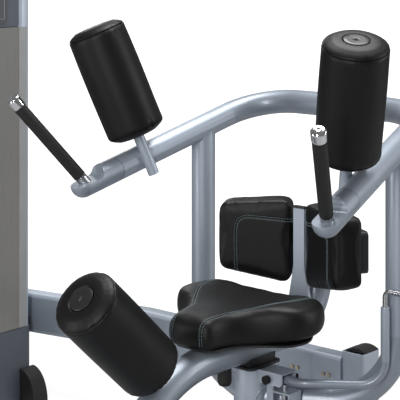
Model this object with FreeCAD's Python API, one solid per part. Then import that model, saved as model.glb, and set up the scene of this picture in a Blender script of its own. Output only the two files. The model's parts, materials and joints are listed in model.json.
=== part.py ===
import FreeCAD, Part
import math
import os

# Rotary torso machine.
# Millimetres. +X is the user's left, -Y is forward (the user faces -Y), +Z is up.
# The origin is on the floor, on the vertical axis that the yoke turns about.

# ---------- driving dimensions ----------
TUBE_D = 63.5                 # yoke tube, 2.5 inch
TUBE_WALL = 3.0
TUBE_R = TUBE_D / 2.0

# yoke bar: a flat U of tube, tilted so that the arms slope down to the front
TIP_X, TIP_Y, TIP_Z = 373.0, -215.0, 819.0
CORNER_X, CORNER_Y, CORNER_Z = 270.0, 370.0, 996.0
YOKE_BEND_R = 150.0
CAP_LENGTH = 110.0            # cast end cap, from the tube's seam to its tip centre
UPRIGHT_X, UPRIGHT_Y = 308.0, 172.0
LOWER_Z = 319.0
LOWER_BEND_R = 173.0

# hub and spindle
SPINDLE_R = 20.0
RUNNING_CLEARANCE = 0.05
HUB_R = 45.0
HUB_LOW_Z, HUB_TOP_Z = 252.0, 394.0
CAM_R = 180.0                 # cable radius on the cam
CAM_LOW_Z, CAM_TOP_Z = 200.0, 240.0
CABLE_Z = 220.0
CABLE_R = 3.0
INDEX_HOLE_RADIUS = 97.0

# roller pads
PAD_D = 152.4                 # 6 inch
PAD_R = PAD_D / 2.0
PAD_SEAM_LENGTH = 267.0       # between the two seam rings
PAD_BEVEL = 17.0              # end ring beyond each seam
PAD_END_R = 56.0
PAD_LENGTH = PAD_SEAM_LENGTH + 2 * PAD_BEVEL
PAD_POST_R = 14.3
PAD_POST_BELOW = 125.0        # post below the lower seam
PAD_BORE_STOP = 30.0          # solid end left above the bore
PAD_LOW = (328.0, -71.0, 949.0)   # centre of the lower seam
PAD_LEAN = (71.0, -71.0, 247.0)
THIGH_CENTRE = (0.0, -473.0, 565.0)
THIGH_AXIS = (0.0, -0.743, 0.669)

# grips
GRIP_R = 15.9                 # 1.25 inch
GRIP_BASE = (373.0, -215.0, 832.0)
GRIP_TOP = (464.0, -371.0, 1042.0)
GRIP_CAP_LENGTH = 30.0

# seat
ARCH_R = 36.5
ARCH_Z = 443.0
SEAT_LOW_Z, SEAT_TOP_Z = 484.7, 572.0

# lumbar support
LUMBAR_INNER_X, LUMBAR_INNER_Y = 21.0, 183.0
LUMBAR_WRAP_DEG = 30.0
LUMBAR_WIDTH = 189.0
LUMBAR_THICK = 72.0
LUMBAR_INNER_Z = (555.0, 770.0)
LUMBAR_OUTER_Z = (589.0, 757.0)
MAST_TOP_Z = 749.0

# base and beam
SPINE_LOW_Z, SPINE_TOP_Z = 20.0, 90.0
POST_X0, POST_X1 = -34.0, 38.0
POST_Y0, POST_Y1 = 422.0, 502.0
POST_TOP_Z = 328.0
BEAM_Y = 446.0
BEAM_HALF_Y = 30.0
BEAM_LOW_Z, BEAM_TOP_Z = 187.0, 312.0
BEAM_WALL = 3.0
BEAM_SEAM_X = -126.0
BEAM_BEND_X = -770.0
BEAM_BEND_DEG = 10.5
BEAM_END_X = -1330.0

# tower
TOWER_FACE_X = -1138.0        # side that faces the seat
TOWER_BACK_X = -1370.0
TOWER_REAR_Y, TOWER_FRONT_Y = 306.0, -174.0
STACK_X = -1276.0
TOWER_MID_Y = (TOWER_REAR_Y + TOWER_FRONT_Y) / 2.0
TOWER_HEIGHT = 1524.0
COVER_TOP_Z = 226.0
SHROUD_TOP_Z = 1171.0
COLUMN_THICK = 50.0
TOWER_WINDOW = (-1290.0, -1184.0)  # X of the opening that the cable comes in by
BRIDGE_LOW_Z, BRIDGE_TOP_Z = 1262.0, 1302.0
CHEEK_IN, CHEEK_OUT = 14.0, 20.0

# weight stack
PLATE_W, PLATE_D, PLATE_H = 260.0, 110.0, 25.0
STACK_LOW_Z = 262.0
LOWER_PLATES = 10
LIFTED_PLATES = 6
ROD_SPACING = 220.0
ROD_R = 12.5
TOP_PULLEY_R = 70.0
PULLEY_R = 40.0

# end caps of the yoke's arms
CAP_GAP = 1.2                 # shadow line where the cap meets the tube
SHELF_RISE = 5.0              # shelf above the arm's centre line
SHELF_END, SCOOP_END = 40.0, 68.0

# clevis, indexing lever and pin
CLEVIS_X0, CLEVIS_X1 = 38.0, 109.0
CLEVIS_HALF_Y = 28.0
CLEVIS_LOW_Z, CLEVIS_TOP_Z = 365.0, 396.0
CLEVIS_WALL = 4.0
HOUSING_LOW_Z, HOUSING_TOP_Z = 262.0, 352.0
HOUSING_HALF_Y = 24.0
PIVOT_X, PIVOT_Z = 66.5, 377.0
LEVER_R = 10.5
LEVER_ROD_R = 6.0
LEVER_X, LEVER_Y = 306.0, 116.0
LEVER_SLEEVE_TOP = 563.0
LEVER_HOOK_Z = 600.0
PIN_R = 6.0
PIN_CLEAR = 1.0               # gap between the lifted pin and the cam
PIN_STANDOUT = 12.0           # pin above the housing, under the lever
PIN_COLLAR_Z = 335.0

# seat arch
ARCH_FRONT_R = 350.0
ARCH_FRONT_Y = -165.0
ARCH_FRONT_TURN = 65.0
ARCH_REAR_Y = 270.0
ARCH_REAR_R = 130.0
ARCH_TOP_Z = 640.0

# seat plan: half width and Y of each station
SEAT_MIDDLE_Y = -66.0
SEAT_HALF = ((0, -256), (45, -254), (62, -246), (69, -225), (74, -195), (86, -165), (108, -138),
             (140, -112), (172, -88), (194, -62), (203, -30), (200, 10), (181, 50), (160, 80),
             (125, 104), (70, 120), (0, 124))

# mast and back shells
MAST_Y0, MAST_Y1 = 186.0, 196.0
MAST_HALF, MAST_FOOT_HALF = 17.0, 32.0
SHELL_Z = (612.0, 716.0)
SHELL_DEPTH = 30.0

# beam bolts
BEAM_BOLT_PAIRS = (-184.0, -79.0)
BEAM_BOLT_SPREAD = 9.0
BEAM_BOLT_Z = 257.0
BEAM_BOLT_R = 4.0

# boots of the tower
BOOT_REACH, BOOT_HEIGHT, BOOT_DEPTH = 68.0, 100.0, 56.0

# weight pin and pulleys
PIN_PLATE = LOWER_PLATES
REAR_PULLEY = (-225.0, 424.2, CABLE_Z)
CABLE_ANGLE = math.radians(4.85)
CORNER_PULLEY = (STACK_X + PULLEY_R, 342.6, CABLE_Z)
RISER_Y = TOWER_MID_Y + 2 * TOP_PULLEY_R
FOOT_PULLEY = (STACK_X, RISER_Y + PULLEY_R, CABLE_Z + PULLEY_R)
TOP_PULLEY = (STACK_X, TOWER_MID_Y + TOP_PULLEY_R, 1395.0)
REAR_PULLEY_R = 45.0
PULLEY_HALF = 7.0
AXLE_R = 5.0
PULLEY_RIM = 2.8              # rim beyond the cable's radius


# ---------- small helpers ----------
def vec(x, y, z):
    return FreeCAD.Vector(x, y, z)


def unit(v):
    n = vec(*v)
    n.normalize()
    return n


def box(x0, x1, y0, y1, z0, z1):
    return Part.makeBox(x1 - x0, y1 - y0, z1 - z0, vec(x0, y0, z0))


def rod(start, axis, radius, length):
    return Part.makeCylinder(radius, length, vec(*start), vec(*axis))


def rod_between(a, b, radius):
    a, b = vec(*a), vec(*b)
    return Part.makeCylinder(radius, (b - a).Length, a, b - a)


def ring(start, axis, outer, inner, length):
    return rod(start, axis, outer, length).cut(rod(start, axis, inner, length))


def round_edges(shape, radius, along):
    """Fillet the straight edges that run along a unit vector."""
    picked = []
    for edge in shape.Edges:
        if edge.Curve.TypeId != "Part::GeomLine":
            continue
        if abs(abs(edge.tangentAt(edge.FirstParameter).dot(vec(*along))) - 1.0) < 1e-6:
            picked.append(edge)
    return shape.makeFillet(radius, picked)


def mirror_x(shape):
    return shape.mirror(vec(0, 0, 0), vec(1, 0, 0))


def bent_path(points, bend_radius):
    """Straight runs joined by tangent arcs, as one wire."""
    points = [vec(*p) for p in points]
    edges = []
    start = points[0]
    for previous, corner, following in zip(points, points[1:], points[2:]):
        back = (previous - corner).normalize()
        ahead = (following - corner).normalize()
        half = math.acos(max(-1.0, min(1.0, back.dot(ahead)))) / 2.0
        reach = bend_radius / math.tan(half)
        arc_start = corner + back * reach
        arc_end = corner + ahead * reach
        middle_way = (back + ahead).normalize()
        centre = corner + middle_way * (bend_radius / math.sin(half))
        arc_middle = centre - middle_way * bend_radius
        edges.append(Part.makeLine(start, arc_start))
        edges.append(Part.Arc(arc_start, arc_middle, arc_end).toShape())
        start = arc_end
    edges.append(Part.makeLine(start, points[-1]))
    return Part.Wire(edges)


def sweep_round(path, radius):
    first = path.OrderedEdges[0]
    centre = first.valueAt(first.FirstParameter)
    direction = first.tangentAt(first.FirstParameter)
    profile = Part.Wire(Part.makeCircle(radius, centre, direction))
    return path.makePipeShell([profile], True, False)


def bent_tube(points, bend_radius, outer, wall):
    path = bent_path(points, bend_radius)
    return sweep_round(path, outer).cut(sweep_round(path, outer - wall))


def bent_bar(points, bend_radius, radius):
    return sweep_round(bent_path(points, bend_radius), radius)


def group(shapes):
    return Part.makeCompound(shapes)


def both_sides(shape):
    return group([shape, mirror_x(shape)])


def solid_of(shape):
    """The largest solid of a boolean result."""
    return max(shape.Solids, key=lambda s: s.Volume)


# ---------- yoke ----------
def arm_point(y):
    """Centre of the left arm (+X) at a given Y."""
    t = (y - TIP_Y) / (CORNER_Y - TIP_Y)
    return (TIP_X + t * (CORNER_X - TIP_X), y, TIP_Z + t * (CORNER_Z - TIP_Z))


def arm_direction():
    return unit((CORNER_X - TIP_X, CORNER_Y - TIP_Y, CORNER_Z - TIP_Z))


def seam_point():
    return vec(TIP_X, TIP_Y, TIP_Z) + arm_direction() * CAP_LENGTH


def mirrored(p):
    return (-p[0], p[1], p[2])


def yoke_points():
    seam = tuple(seam_point())
    corner = (CORNER_X, CORNER_Y, CORNER_Z)
    return [mirrored(seam), mirrored(corner), corner, seam]


def yoke_bar():
    return bent_tube(yoke_points(), YOKE_BEND_R, TUBE_R, TUBE_WALL)


def yoke_envelope():
    return sweep_round(bent_path(yoke_points(), YOKE_BEND_R), TUBE_R)


def upright_points():
    top_z = arm_point(UPRIGHT_Y)[2]
    plan = math.hypot(UPRIGHT_X, UPRIGHT_Y)
    start = 0.5 * HUB_R / plan
    return [(UPRIGHT_X * start, UPRIGHT_Y * start, LOWER_Z), (UPRIGHT_X, UPRIGHT_Y, LOWER_Z),
            (UPRIGHT_X, UPRIGHT_Y, top_z)]


def upright_left(envelope):
    """Lower tube and upright in one bent piece, coped to the hub and to the arm."""
    tube = bent_tube(upright_points(), LOWER_BEND_R, TUBE_R, TUBE_WALL)
    tube = tube.cut(rod((0, 0, HUB_LOW_Z), (0, 0, 1), HUB_R, HUB_TOP_Z - HUB_LOW_Z))
    return solid_of(tube.cut(envelope))


def left_outside():
    """The left lower tube as a solid bar, for coping what is welded on it."""
    return bent_bar(upright_points(), LOWER_BEND_R, TUBE_R)


def end_cap():
    """Cast tip of an arm: full round at the seam, scooped to a flat shelf with a round end."""
    direction = arm_direction()
    seam = seam_point()
    tip = vec(TIP_X, TIP_Y, TIP_Z)
    body = Part.makeCylinder(TUBE_R, CAP_LENGTH - CAP_GAP, tip, direction)
    body = body.fuse(Part.makeSphere(TUBE_R, tip)).removeSplitter()
    scoop = cap_scoop(tip, direction)
    spigot = Part.makeCylinder(TUBE_R - TUBE_WALL - 0.2, 30.0 + CAP_GAP, seam - direction * CAP_GAP,
                               direction)
    return solid_of(body.cut(scoop).fuse(spigot).removeSplitter())


def cap_scoop(tip, direction):
    """Solid above the shelf, closed at the back by two tangent arcs."""
    side = direction.cross(vec(0, 0, 1)).normalize()
    up = side.cross(direction).normalize()

    def point(along, rise):
        return tip + direction * along + up * rise - side * 60.0

    top = TUBE_R + 0.6
    half_run = (SCOOP_END - SHELF_END) / 2.0
    half_rise = (top - SHELF_RISE) / 2.0
    radius = (half_run ** 2 + half_rise ** 2) / (2.0 * half_rise)
    half_turn = math.acos(1.0 - half_rise / radius) / 2.0
    sag_run, sag_rise = radius * math.sin(half_turn), radius * (1.0 - math.cos(half_turn))
    low = point(SHELF_END, SHELF_RISE)
    middle = point(SHELF_END + half_run, SHELF_RISE + half_rise)
    high = point(SCOOP_END, top)
    first = Part.Arc(low, point(SHELF_END + sag_run, SHELF_RISE + sag_rise), middle).toShape()
    second = Part.Arc(middle, point(SCOOP_END - sag_run, top - sag_rise), high).toShape()
    over_end, over_tip = point(SCOOP_END, TUBE_R + 20.0), point(-60.0, TUBE_R + 20.0)
    front = point(-60.0, SHELF_RISE)
    wire = Part.Wire([Part.makeLine(front, low), first, second, Part.makeLine(high, over_end),
                      Part.makeLine(over_end, over_tip), Part.makeLine(over_tip, front)])
    return Part.Face(wire).extrude(side * 120.0)


def grip_direction():
    return unit([b - a for a, b in zip(GRIP_BASE, GRIP_TOP)])


def grip_stub(cap):
    """Steel bar that carries the grip, with a collar ring on the shelf."""
    direction = grip_direction()
    base = vec(*GRIP_BASE) - direction * 14.0
    length = (vec(*GRIP_TOP) - base).Length - GRIP_CAP_LENGTH + 12.0
    bar = Part.makeCylinder(9.5, length, base, direction)
    collar = Part.makeCylinder(15.0, 22.0, base, direction)
    return solid_of(bar.fuse(collar).removeSplitter().cut(cap))


def grip_sleeve():
    direction = grip_direction()
    start = vec(*GRIP_BASE) + direction * 12.0
    length = (vec(*GRIP_TOP) - start).Length - GRIP_CAP_LENGTH
    sleeve = Part.makeCylinder(GRIP_R, length, start, direction)
    return sleeve.cut(Part.makeCylinder(9.6, length, start, direction))


def grip_end_cap():
    direction = grip_direction()
    start = vec(*GRIP_TOP) - direction * GRIP_CAP_LENGTH
    cap = Part.makeCylinder(GRIP_R, GRIP_CAP_LENGTH, start, direction)
    far = cap.Edges[0] if cap.Edges[0].CenterOfMass.z > cap.Edges[2].CenterOfMass.z else cap.Edges[2]
    cap = cap.makeFillet(9.0, [far])
    return cap.cut(Part.makeCylinder(9.6, 13.0, start, direction))


def pad_axis():
    return unit(PAD_LEAN)


def post_length():
    """From the post's foot to just short of the bore's end."""
    return PAD_POST_BELOW + PAD_SEAM_LENGTH + PAD_BEVEL - PAD_BORE_STOP - 3.0


def pad_post(envelope):
    axis = pad_axis()
    start = vec(*PAD_LOW) - axis * PAD_POST_BELOW
    return solid_of(Part.makeCylinder(PAD_POST_R, post_length(), start, axis).cut(envelope))


def roller(low_seam, axis):
    """Padded roller with tapered end rings and a blind bore that runs on its post."""
    axis = unit(axis)
    low_seam = vec(*low_seam)
    high_seam = low_seam + axis * PAD_SEAM_LENGTH
    low_end = low_seam - axis * PAD_BEVEL
    body = Part.makeCylinder(PAD_R, PAD_SEAM_LENGTH, low_seam, axis)
    lower = Part.makeCone(PAD_END_R, PAD_R, PAD_BEVEL, low_end, axis)
    upper = Part.makeCone(PAD_R, PAD_END_R, PAD_BEVEL, high_seam, axis)
    body = body.fuse([lower, upper]).removeSplitter()
    bore_length = PAD_LENGTH - PAD_BORE_STOP
    return body.cut(Part.makeCylinder(PAD_POST_R + RUNNING_CLEARANCE, bore_length, low_end, axis))


# ---------- hub, cam and indexing lever ----------
def spindle(arch):
    """Fixed centre shaft: foot flange on the spine, stepped post, and shaft up to the seat tube."""
    flange = rod((0, 0, SPINE_TOP_Z), (0, 0, 1), 70.0, 12.0)
    post = rod((0, 0, SPINE_TOP_Z), (0, 0, 1), 42.0, CAM_LOW_Z - 2.0 - SPINE_TOP_Z)
    shaft = rod((0, 0, SPINE_TOP_Z), (0, 0, 1), SPINDLE_R, ARCH_Z - ARCH_R - SPINE_TOP_Z + 6.0)
    return solid_of(flange.fuse([post, shaft]).removeSplitter().cut(arch))


def spindle_plate(arch):
    plate = round_edges(box(-42, 42, -60, 60, 397.0, 403.0), 12.0, (0, 0, 1))
    saddle = box(-30, 30, -50, 50, 403.0, ARCH_Z)
    whole = plate.fuse(saddle).removeSplitter().cut(arch)
    return solid_of(whole.cut(rod((0, 0, 300), (0, 0, 1), SPINDLE_R + 0.02, 150.0)))


def index_cam():
    """Cable wheel with a grooved rim and a ring of indexing holes."""
    rim = rod((0, 0, CAM_LOW_Z), (0, 0, 1), CAM_R + 6.0, CAM_TOP_Z - CAM_LOW_Z)
    groove = Part.makeTorus(CAM_R + 2.0, 6.0, vec(0, 0, CABLE_Z))
    pocket = ring((0, 0, CAM_LOW_Z), (0, 0, 1), CAM_R - 22.0, 122.0, 24.0)
    bore = rod((0, 0, CAM_LOW_Z), (0, 0, 1), SPINDLE_R + RUNNING_CLEARANCE, 60.0)
    wheel = rim.cut(groove).cut(pocket).cut(bore)
    for step in range(-7, 8):
        angle = math.radians(10.0 * step)
        x = INDEX_HOLE_RADIUS * math.cos(angle)
        y = INDEX_HOLE_RADIUS * math.sin(angle)
        wheel = wheel.cut(rod((x, y, CAM_LOW_Z - 1), (0, 0, 1), 6.2, 60.0))
    return wheel


def hub_sleeve():
    height = HUB_TOP_Z - HUB_LOW_Z
    body = rod((0, 0, HUB_LOW_Z), (0, 0, 1), HUB_R, height)
    body = body.cut(rod((0, 0, HUB_LOW_Z), (0, 0, 1), 31.0, height))
    return body.fuse(ring((0, 0, HUB_LOW_Z + 18), (0, 0, 1), 34.0, 24.0, height - 36.0)).removeSplitter()


def hub_bearings():
    rings = []
    for z in (HUB_LOW_Z, HUB_TOP_Z - 18.0):
        rings.append(ring((0, 0, z), (0, 0, 1), 31.0, SPINDLE_R + RUNNING_CLEARANCE, 18.0))
    return group(rings)


def clevis_cheeks():
    """Two cheeks and their top plate, with the lower outer corners rounded."""
    outer = box(CLEVIS_X0, CLEVIS_X1, -CLEVIS_HALF_Y, CLEVIS_HALF_Y, CLEVIS_LOW_Z, CLEVIS_TOP_Z)
    outside = [e for e in outer.Edges if e.BoundBox.XMin > CLEVIS_X1 - 1]
    corners = [e for e in outside if e.BoundBox.ZMax < CLEVIS_LOW_Z + 1]
    outer = outer.makeFillet(10.0, corners)
    gap_y = CLEVIS_HALF_Y - CLEVIS_WALL
    return outer.cut(box(CLEVIS_X0 - 1, CLEVIS_X1 + 1, -gap_y, gap_y,
                         CLEVIS_LOW_Z - 1, CLEVIS_TOP_Z - CLEVIS_WALL))


def pin_housing():
    """Channel below the cheeks, open to the front, that holds the index pin's guide tube."""
    x0, x1 = 72.0, 128.0
    half_y = HOUSING_HALF_Y
    outer = box(x0, x1, -half_y, half_y, HOUSING_LOW_Z, HOUSING_TOP_Z)
    inner = box(x0 + 4, x1 - 4, -half_y - 1, half_y - 4, HOUSING_LOW_Z - 1, HOUSING_TOP_Z - 4)
    floor = box(x0, x1, -16.0, HOUSING_HALF_Y, 300.0, 304.0)
    guide = rod((INDEX_HOLE_RADIUS, 0, HOUSING_LOW_Z), (0, 0, 1), 11.5, 60.0)
    return outer.cut(inner).fuse([floor, guide])


def clevis(hub_radius):
    """Bracket on the hub: cheeks for the lever's bolt, a strut and the pin's housing."""
    strut = box(61.0, 80.0, -HOUSING_HALF_Y, -18.0, HOUSING_LOW_Z, CLEVIS_LOW_Z + 3.0)
    strut = strut.fuse(box(61.0, 80.0, -CLEVIS_HALF_Y, -18.0, CLEVIS_LOW_Z, CLEVIS_LOW_Z + 4.0))
    tie = box(38.0, 80.0, -18.0, -8.0, 300.0, 318.0)
    bracket = clevis_cheeks().fuse([pin_housing(), strut, tie]).removeSplitter()
    bracket = bracket.cut(rod((INDEX_HOLE_RADIUS, 0, 250.0), (0, 0, 1), PIN_R + RUNNING_CLEARANCE, 110.0))
    bracket = bracket.cut(rod((PIVOT_X, -40, PIVOT_Z), (0, 1, 0), 6.0, 80.0))
    return solid_of(bracket.cut(rod((0, 0, 200), (0, 0, 1), hub_radius, 300.0)))


def clevis_bolt():
    shaft = rod((PIVOT_X, -34.0, PIVOT_Z), (0, 1, 0), 6.0, 68.0)
    head = rod((PIVOT_X, -38.0, PIVOT_Z), (0, 1, 0), 10.5, 10.0)
    nut = rod((PIVOT_X, 28.0, PIVOT_Z), (0, 1, 0), 10.5, 8.0)
    return shaft.fuse([head, nut]).removeSplitter()


def lever_tube():
    """Indexing lever: leaves the clevis, follows the lower tube and turns up beside the upright."""
    points = [(PIVOT_X + 8.0, 0, PIVOT_Z), (PIVOT_X + 78.0, 0, PIVOT_Z),
              (LEVER_X, LEVER_Y, PIVOT_Z), (LEVER_X, LEVER_Y, LEVER_SLEEVE_TOP)]
    tube = bent_tube(points, 60.0, LEVER_R, 4.0)
    eye = rod((PIVOT_X, -14.0, PIVOT_Z), (0, 1, 0), 12.0, 28.0)
    tube = tube.fuse(eye).removeSplitter()
    tube = tube.cut(rod((PIVOT_X, -40, PIVOT_Z), (0, 1, 0), 6.0 + RUNNING_CLEARANCE, 80.0))
    return solid_of(tube)


def lever_rod():
    """Thin handle rod pressed into the lever tube, hooked outwards at its top."""
    end_x = LEVER_X + 150.0
    points = [(LEVER_X, LEVER_Y, LEVER_SLEEVE_TOP - 60.0), (LEVER_X, LEVER_Y, LEVER_HOOK_Z),
              (end_x, LEVER_Y, LEVER_HOOK_Z)]
    rod_shape = bent_bar(points, 14.0, LEVER_ROD_R)
    knob = rod((end_x - 62.0, LEVER_Y, LEVER_HOOK_Z), (1, 0, 0), 11.0, 70.0)
    return rod_shape.fuse(knob).removeSplitter()


def lock_pin():
    """Index pin, drawn lifted clear of the cam; it slides down its guide into a hole."""
    x = INDEX_HOLE_RADIUS
    low, top = CAM_TOP_Z + PIN_CLEAR, HOUSING_TOP_Z + PIN_STANDOUT
    shaft = rod((x, 0, low), (0, 0, 1), PIN_R, top - low)
    collar = rod((x, 0, PIN_COLLAR_Z), (0, 0, 1), 9.5, 6.0)
    return shaft.fuse(collar).removeSplitter()


# ---------- seat and lumbar ----------


def arch_path_points():
    """Front foot and the corner that the front bend rounds off."""
    turn = math.radians(ARCH_FRONT_TURN)
    corner_y = ARCH_FRONT_Y - ARCH_FRONT_R * math.tan(turn / 2.0)
    run = (ARCH_Z - SPINE_TOP_Z) / math.tan(turn)
    return [(0, corner_y - run, SPINE_TOP_Z), (0, corner_y, ARCH_Z)]


def seat_arch(radius):
    foot, corner = [vec(*p) for p in arch_path_points()]
    turn = math.radians(ARCH_FRONT_TURN)
    reach = ARCH_FRONT_R * math.tan(turn / 2.0)
    bend_low = corner + (foot - corner).normalize() * reach
    bend_high = vec(0, ARCH_FRONT_Y, ARCH_Z)
    half = turn / 2.0
    middle = vec(0, ARCH_FRONT_Y - ARCH_FRONT_R * math.sin(half),
                 ARCH_Z - ARCH_FRONT_R * (1.0 - math.cos(half)))
    rear_start = vec(0, ARCH_REAR_Y - ARCH_REAR_R, ARCH_Z)
    rear_end = vec(0, ARCH_REAR_Y, ARCH_Z + ARCH_REAR_R)
    diagonal = ARCH_REAR_R * math.sqrt(0.5)
    rear_middle = vec(0, rear_start.y + diagonal, rear_end.z - diagonal)
    below = (foot - corner).normalize() * 45.0
    edges = [Part.makeLine(foot + below, bend_low),
             Part.Arc(bend_low, middle, bend_high).toShape(),
             Part.makeLine(bend_high, rear_start),
             Part.Arc(rear_start, rear_middle, rear_end).toShape(),
             Part.makeLine(rear_end, vec(0, ARCH_REAR_Y, ARCH_TOP_Z))]
    return sweep_round(Part.Wire(edges), radius)


def arch_tube():
    tube = seat_arch(ARCH_R).cut(seat_arch(ARCH_R - 3.5))
    floor = box(-200, 200, -900, 0, -100, SPINE_TOP_Z)
    return solid_of(tube.cut(floor))


# half of the saddle's plan, nose to rear: half width and Y


def seat_outline(shrink):
    half = [(x * shrink, SEAT_MIDDLE_Y + (y - SEAT_MIDDLE_Y) * shrink) for x, y in SEAT_HALF]
    other = [(-x, y) for x, y in reversed(half[1:-1])]
    return half + other


def seat_slab(shrink, z0, z1):
    points = [vec(x, y, z0) for x, y in seat_outline(shrink)]
    curve = Part.BSplineCurve()
    curve.interpolate(points, PeriodicFlag=True)
    return Part.Face(Part.Wire(curve.toShape())).extrude(vec(0, 0, z1 - z0))


def seat_pan(arch):
    return solid_of(seat_slab(0.86, SEAT_LOW_Z - 5.0, SEAT_LOW_Z - 0.2).cut(arch))


def mast(arch):
    """Flat bar that flares at its foot, with a rib back to the riser."""
    right = [(MAST_FOOT_HALF, 490), (MAST_FOOT_HALF, 520), (MAST_HALF, 600), (MAST_HALF, MAST_TOP_Z)]
    outline = [vec(x, MAST_Y0, z) for x, z in right]
    outline += [vec(-x, MAST_Y0, z) for x, z in reversed(right)]
    bar = Part.Face(Part.makePolygon(outline + [outline[0]])).extrude(vec(0, MAST_Y1 - MAST_Y0, 0))
    rib = box(-6, 6, MAST_Y1, 260.0, 500.0, 628.0)
    return solid_of(bar.fuse(rib).removeSplitter().cut(arch))


def lumbar_frame(along, back, z):
    """A point of the left pad: distance along its face, distance behind its face, height."""
    wrap = math.radians(LUMBAR_WRAP_DEG)
    x = LUMBAR_INNER_X + along * math.cos(wrap) + back * math.sin(wrap)
    y = LUMBAR_INNER_Y - along * math.sin(wrap) + back * math.cos(wrap)
    return vec(x, y, z)


def lumbar_slab(a0, a1, b0, b1, z_inner, z_outer, corner):
    """Slab between two heights that may differ at its inner and outer edges."""
    low_in, top_in = z_inner
    low_out, top_out = z_outer
    points = [lumbar_frame(a0, b0, low_in), lumbar_frame(a1, b0, low_out),
              lumbar_frame(a1, b0, top_out), lumbar_frame(a0, b0, top_in)]
    normal = lumbar_frame(0, b1 - b0, 0) - lumbar_frame(0, 0, 0)
    slab = Part.Face(Part.makePolygon(points + [points[0]])).extrude(normal)
    direction = unit(tuple(normal))
    return round_edges(slab, corner, tuple(direction))


def back_pad():
    return lumbar_slab(0, LUMBAR_WIDTH, 0, LUMBAR_THICK, LUMBAR_INNER_Z, LUMBAR_OUTER_Z, 22.0)


def back_shell():
    return lumbar_slab(34, 158, LUMBAR_THICK + 0.2, LUMBAR_THICK + SHELL_DEPTH, SHELL_Z, SHELL_Z, 12.0)


def back_bracket(shells):
    """Block on the back of the mast and a cross plate between the two shells."""
    z0, z1 = ARCH_TOP_Z + 8.0, SHELL_Z[1] - 10.0
    block = box(-16.0, 16.0, MAST_Y1 + 0.1, 250.0, z0, z1)
    plate = box(-112.0, 112.0, 249.0, 255.0, z0, z1)
    piece = block.fuse(plate).removeSplitter()
    for shell in shells:
        piece = piece.cut(shell)
    return solid_of(piece)


# ---------- base and beam ----------
def base_spine():
    spine = round_edges(box(-50, 50, -640, POST_Y0, SPINE_LOW_Z, SPINE_TOP_Z), 8.0, (0, 1, 0))
    hollow = box(-45, 45, -636, POST_Y0 - 4, SPINE_LOW_Z + 5, SPINE_TOP_Z - 5)
    return spine.cut(hollow)


def front_foot():
    foot = round_edges(box(-320, 320, -710, -640, SPINE_LOW_Z, SPINE_TOP_Z - 10), 8.0, (1, 0, 0))
    return foot.cut(box(-316, 316, -705, -645, SPINE_LOW_Z + 5, SPINE_TOP_Z - 15))


def floor_pads():
    pads = []
    for x, y in ((-280, -675), (280, -675), (0, 0), (0, (POST_Y0 + POST_Y1) / 2)):
        pads.append(rod((x, y, 0), (0, 0, 1), 30.0, SPINE_LOW_Z))
    return group(pads)


def rear_post():
    """Square post behind the hub with a socket stub for the link beam."""
    wall = 5.0
    post = box(POST_X0, POST_X1, POST_Y0, POST_Y1, SPINE_LOW_Z, POST_TOP_Z)
    post = round_edges(post, 8.0, (0, 0, 1))
    post = post.cut(box(POST_X0 + wall, POST_X1 - wall, POST_Y0 + wall, POST_Y1 - wall,
                        SPINE_LOW_Z + wall, POST_TOP_Z + 1))
    stub = beam_section(BEAM_SEAM_X + 0.4, POST_X0 + 2.0, 0.0)
    hollow = beam_section(BEAM_SEAM_X, POST_X0 - 4.0, 4.0)
    piece = post.fuse(stub).cut(hollow)
    return solid_of(cut_beam_bolts(piece))


def beam_section(x0, x1, inset):
    section = box(x0, x1, BEAM_Y - BEAM_HALF_Y + inset, BEAM_Y + BEAM_HALF_Y - inset,
                  BEAM_LOW_Z + inset, BEAM_TOP_Z - inset)
    return round_edges(section, 12.0 - inset, (1, 0, 0))


def beam_angled(inset):
    """Left run of the beam, turned forward about the bend."""
    length = (BEAM_BEND_X - BEAM_END_X) / math.cos(math.radians(BEAM_BEND_DEG))
    run = beam_section(BEAM_BEND_X - length - inset, BEAM_BEND_X + 6.0 + inset, inset)
    run.rotate(vec(BEAM_BEND_X, BEAM_Y, 0), vec(0, 0, 1), BEAM_BEND_DEG)
    return run


def link_beam():
    outer = beam_section(BEAM_BEND_X, BEAM_SEAM_X, 0.0).fuse(beam_angled(0.0))
    inner = beam_section(BEAM_BEND_X - 1.0, BEAM_SEAM_X + 5.0, BEAM_WALL)
    inner = inner.fuse(beam_angled(BEAM_WALL))
    beam = outer.removeSplitter().cut(inner)
    front = BEAM_Y - BEAM_HALF_Y
    beam = beam.cut(box(REAR_PULLEY[0] - 53, REAR_PULLEY[0] + 53, front - 60, front + 10, 200, 240))
    beam = beam.cut(box(TOWER_WINDOW[0], TOWER_WINDOW[1], 290, 346, 200, 240))
    for x, y, _ in (REAR_PULLEY, CORNER_PULLEY):
        beam = beam.cut(rod((x, y, BEAM_LOW_Z + 1.0), (0, 0, 1), AXLE_R + 0.02, 60.0))
    return solid_of(cut_beam_bolts(beam))


def beam_bolt_places():
    return [x + side * BEAM_BOLT_SPREAD for x in BEAM_BOLT_PAIRS for side in (-1, 1)]


def cut_beam_bolts(shape):
    for x in beam_bolt_places():
        shape = shape.cut(rod((x, BEAM_Y - 40, BEAM_BOLT_Z), (0, 1, 0), BEAM_BOLT_R + 0.1, 80.0))
    return shape


def beam_splice():
    sleeve = beam_section(-250.0, -46.0, 4.3)
    sleeve = sleeve.cut(beam_section(-260.0, -40.0, 9.0))
    sleeve = sleeve.cut(box(-278, -162, 380, 480, BEAM_LOW_Z + 1, 249))
    return solid_of(cut_beam_bolts(sleeve))


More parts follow.
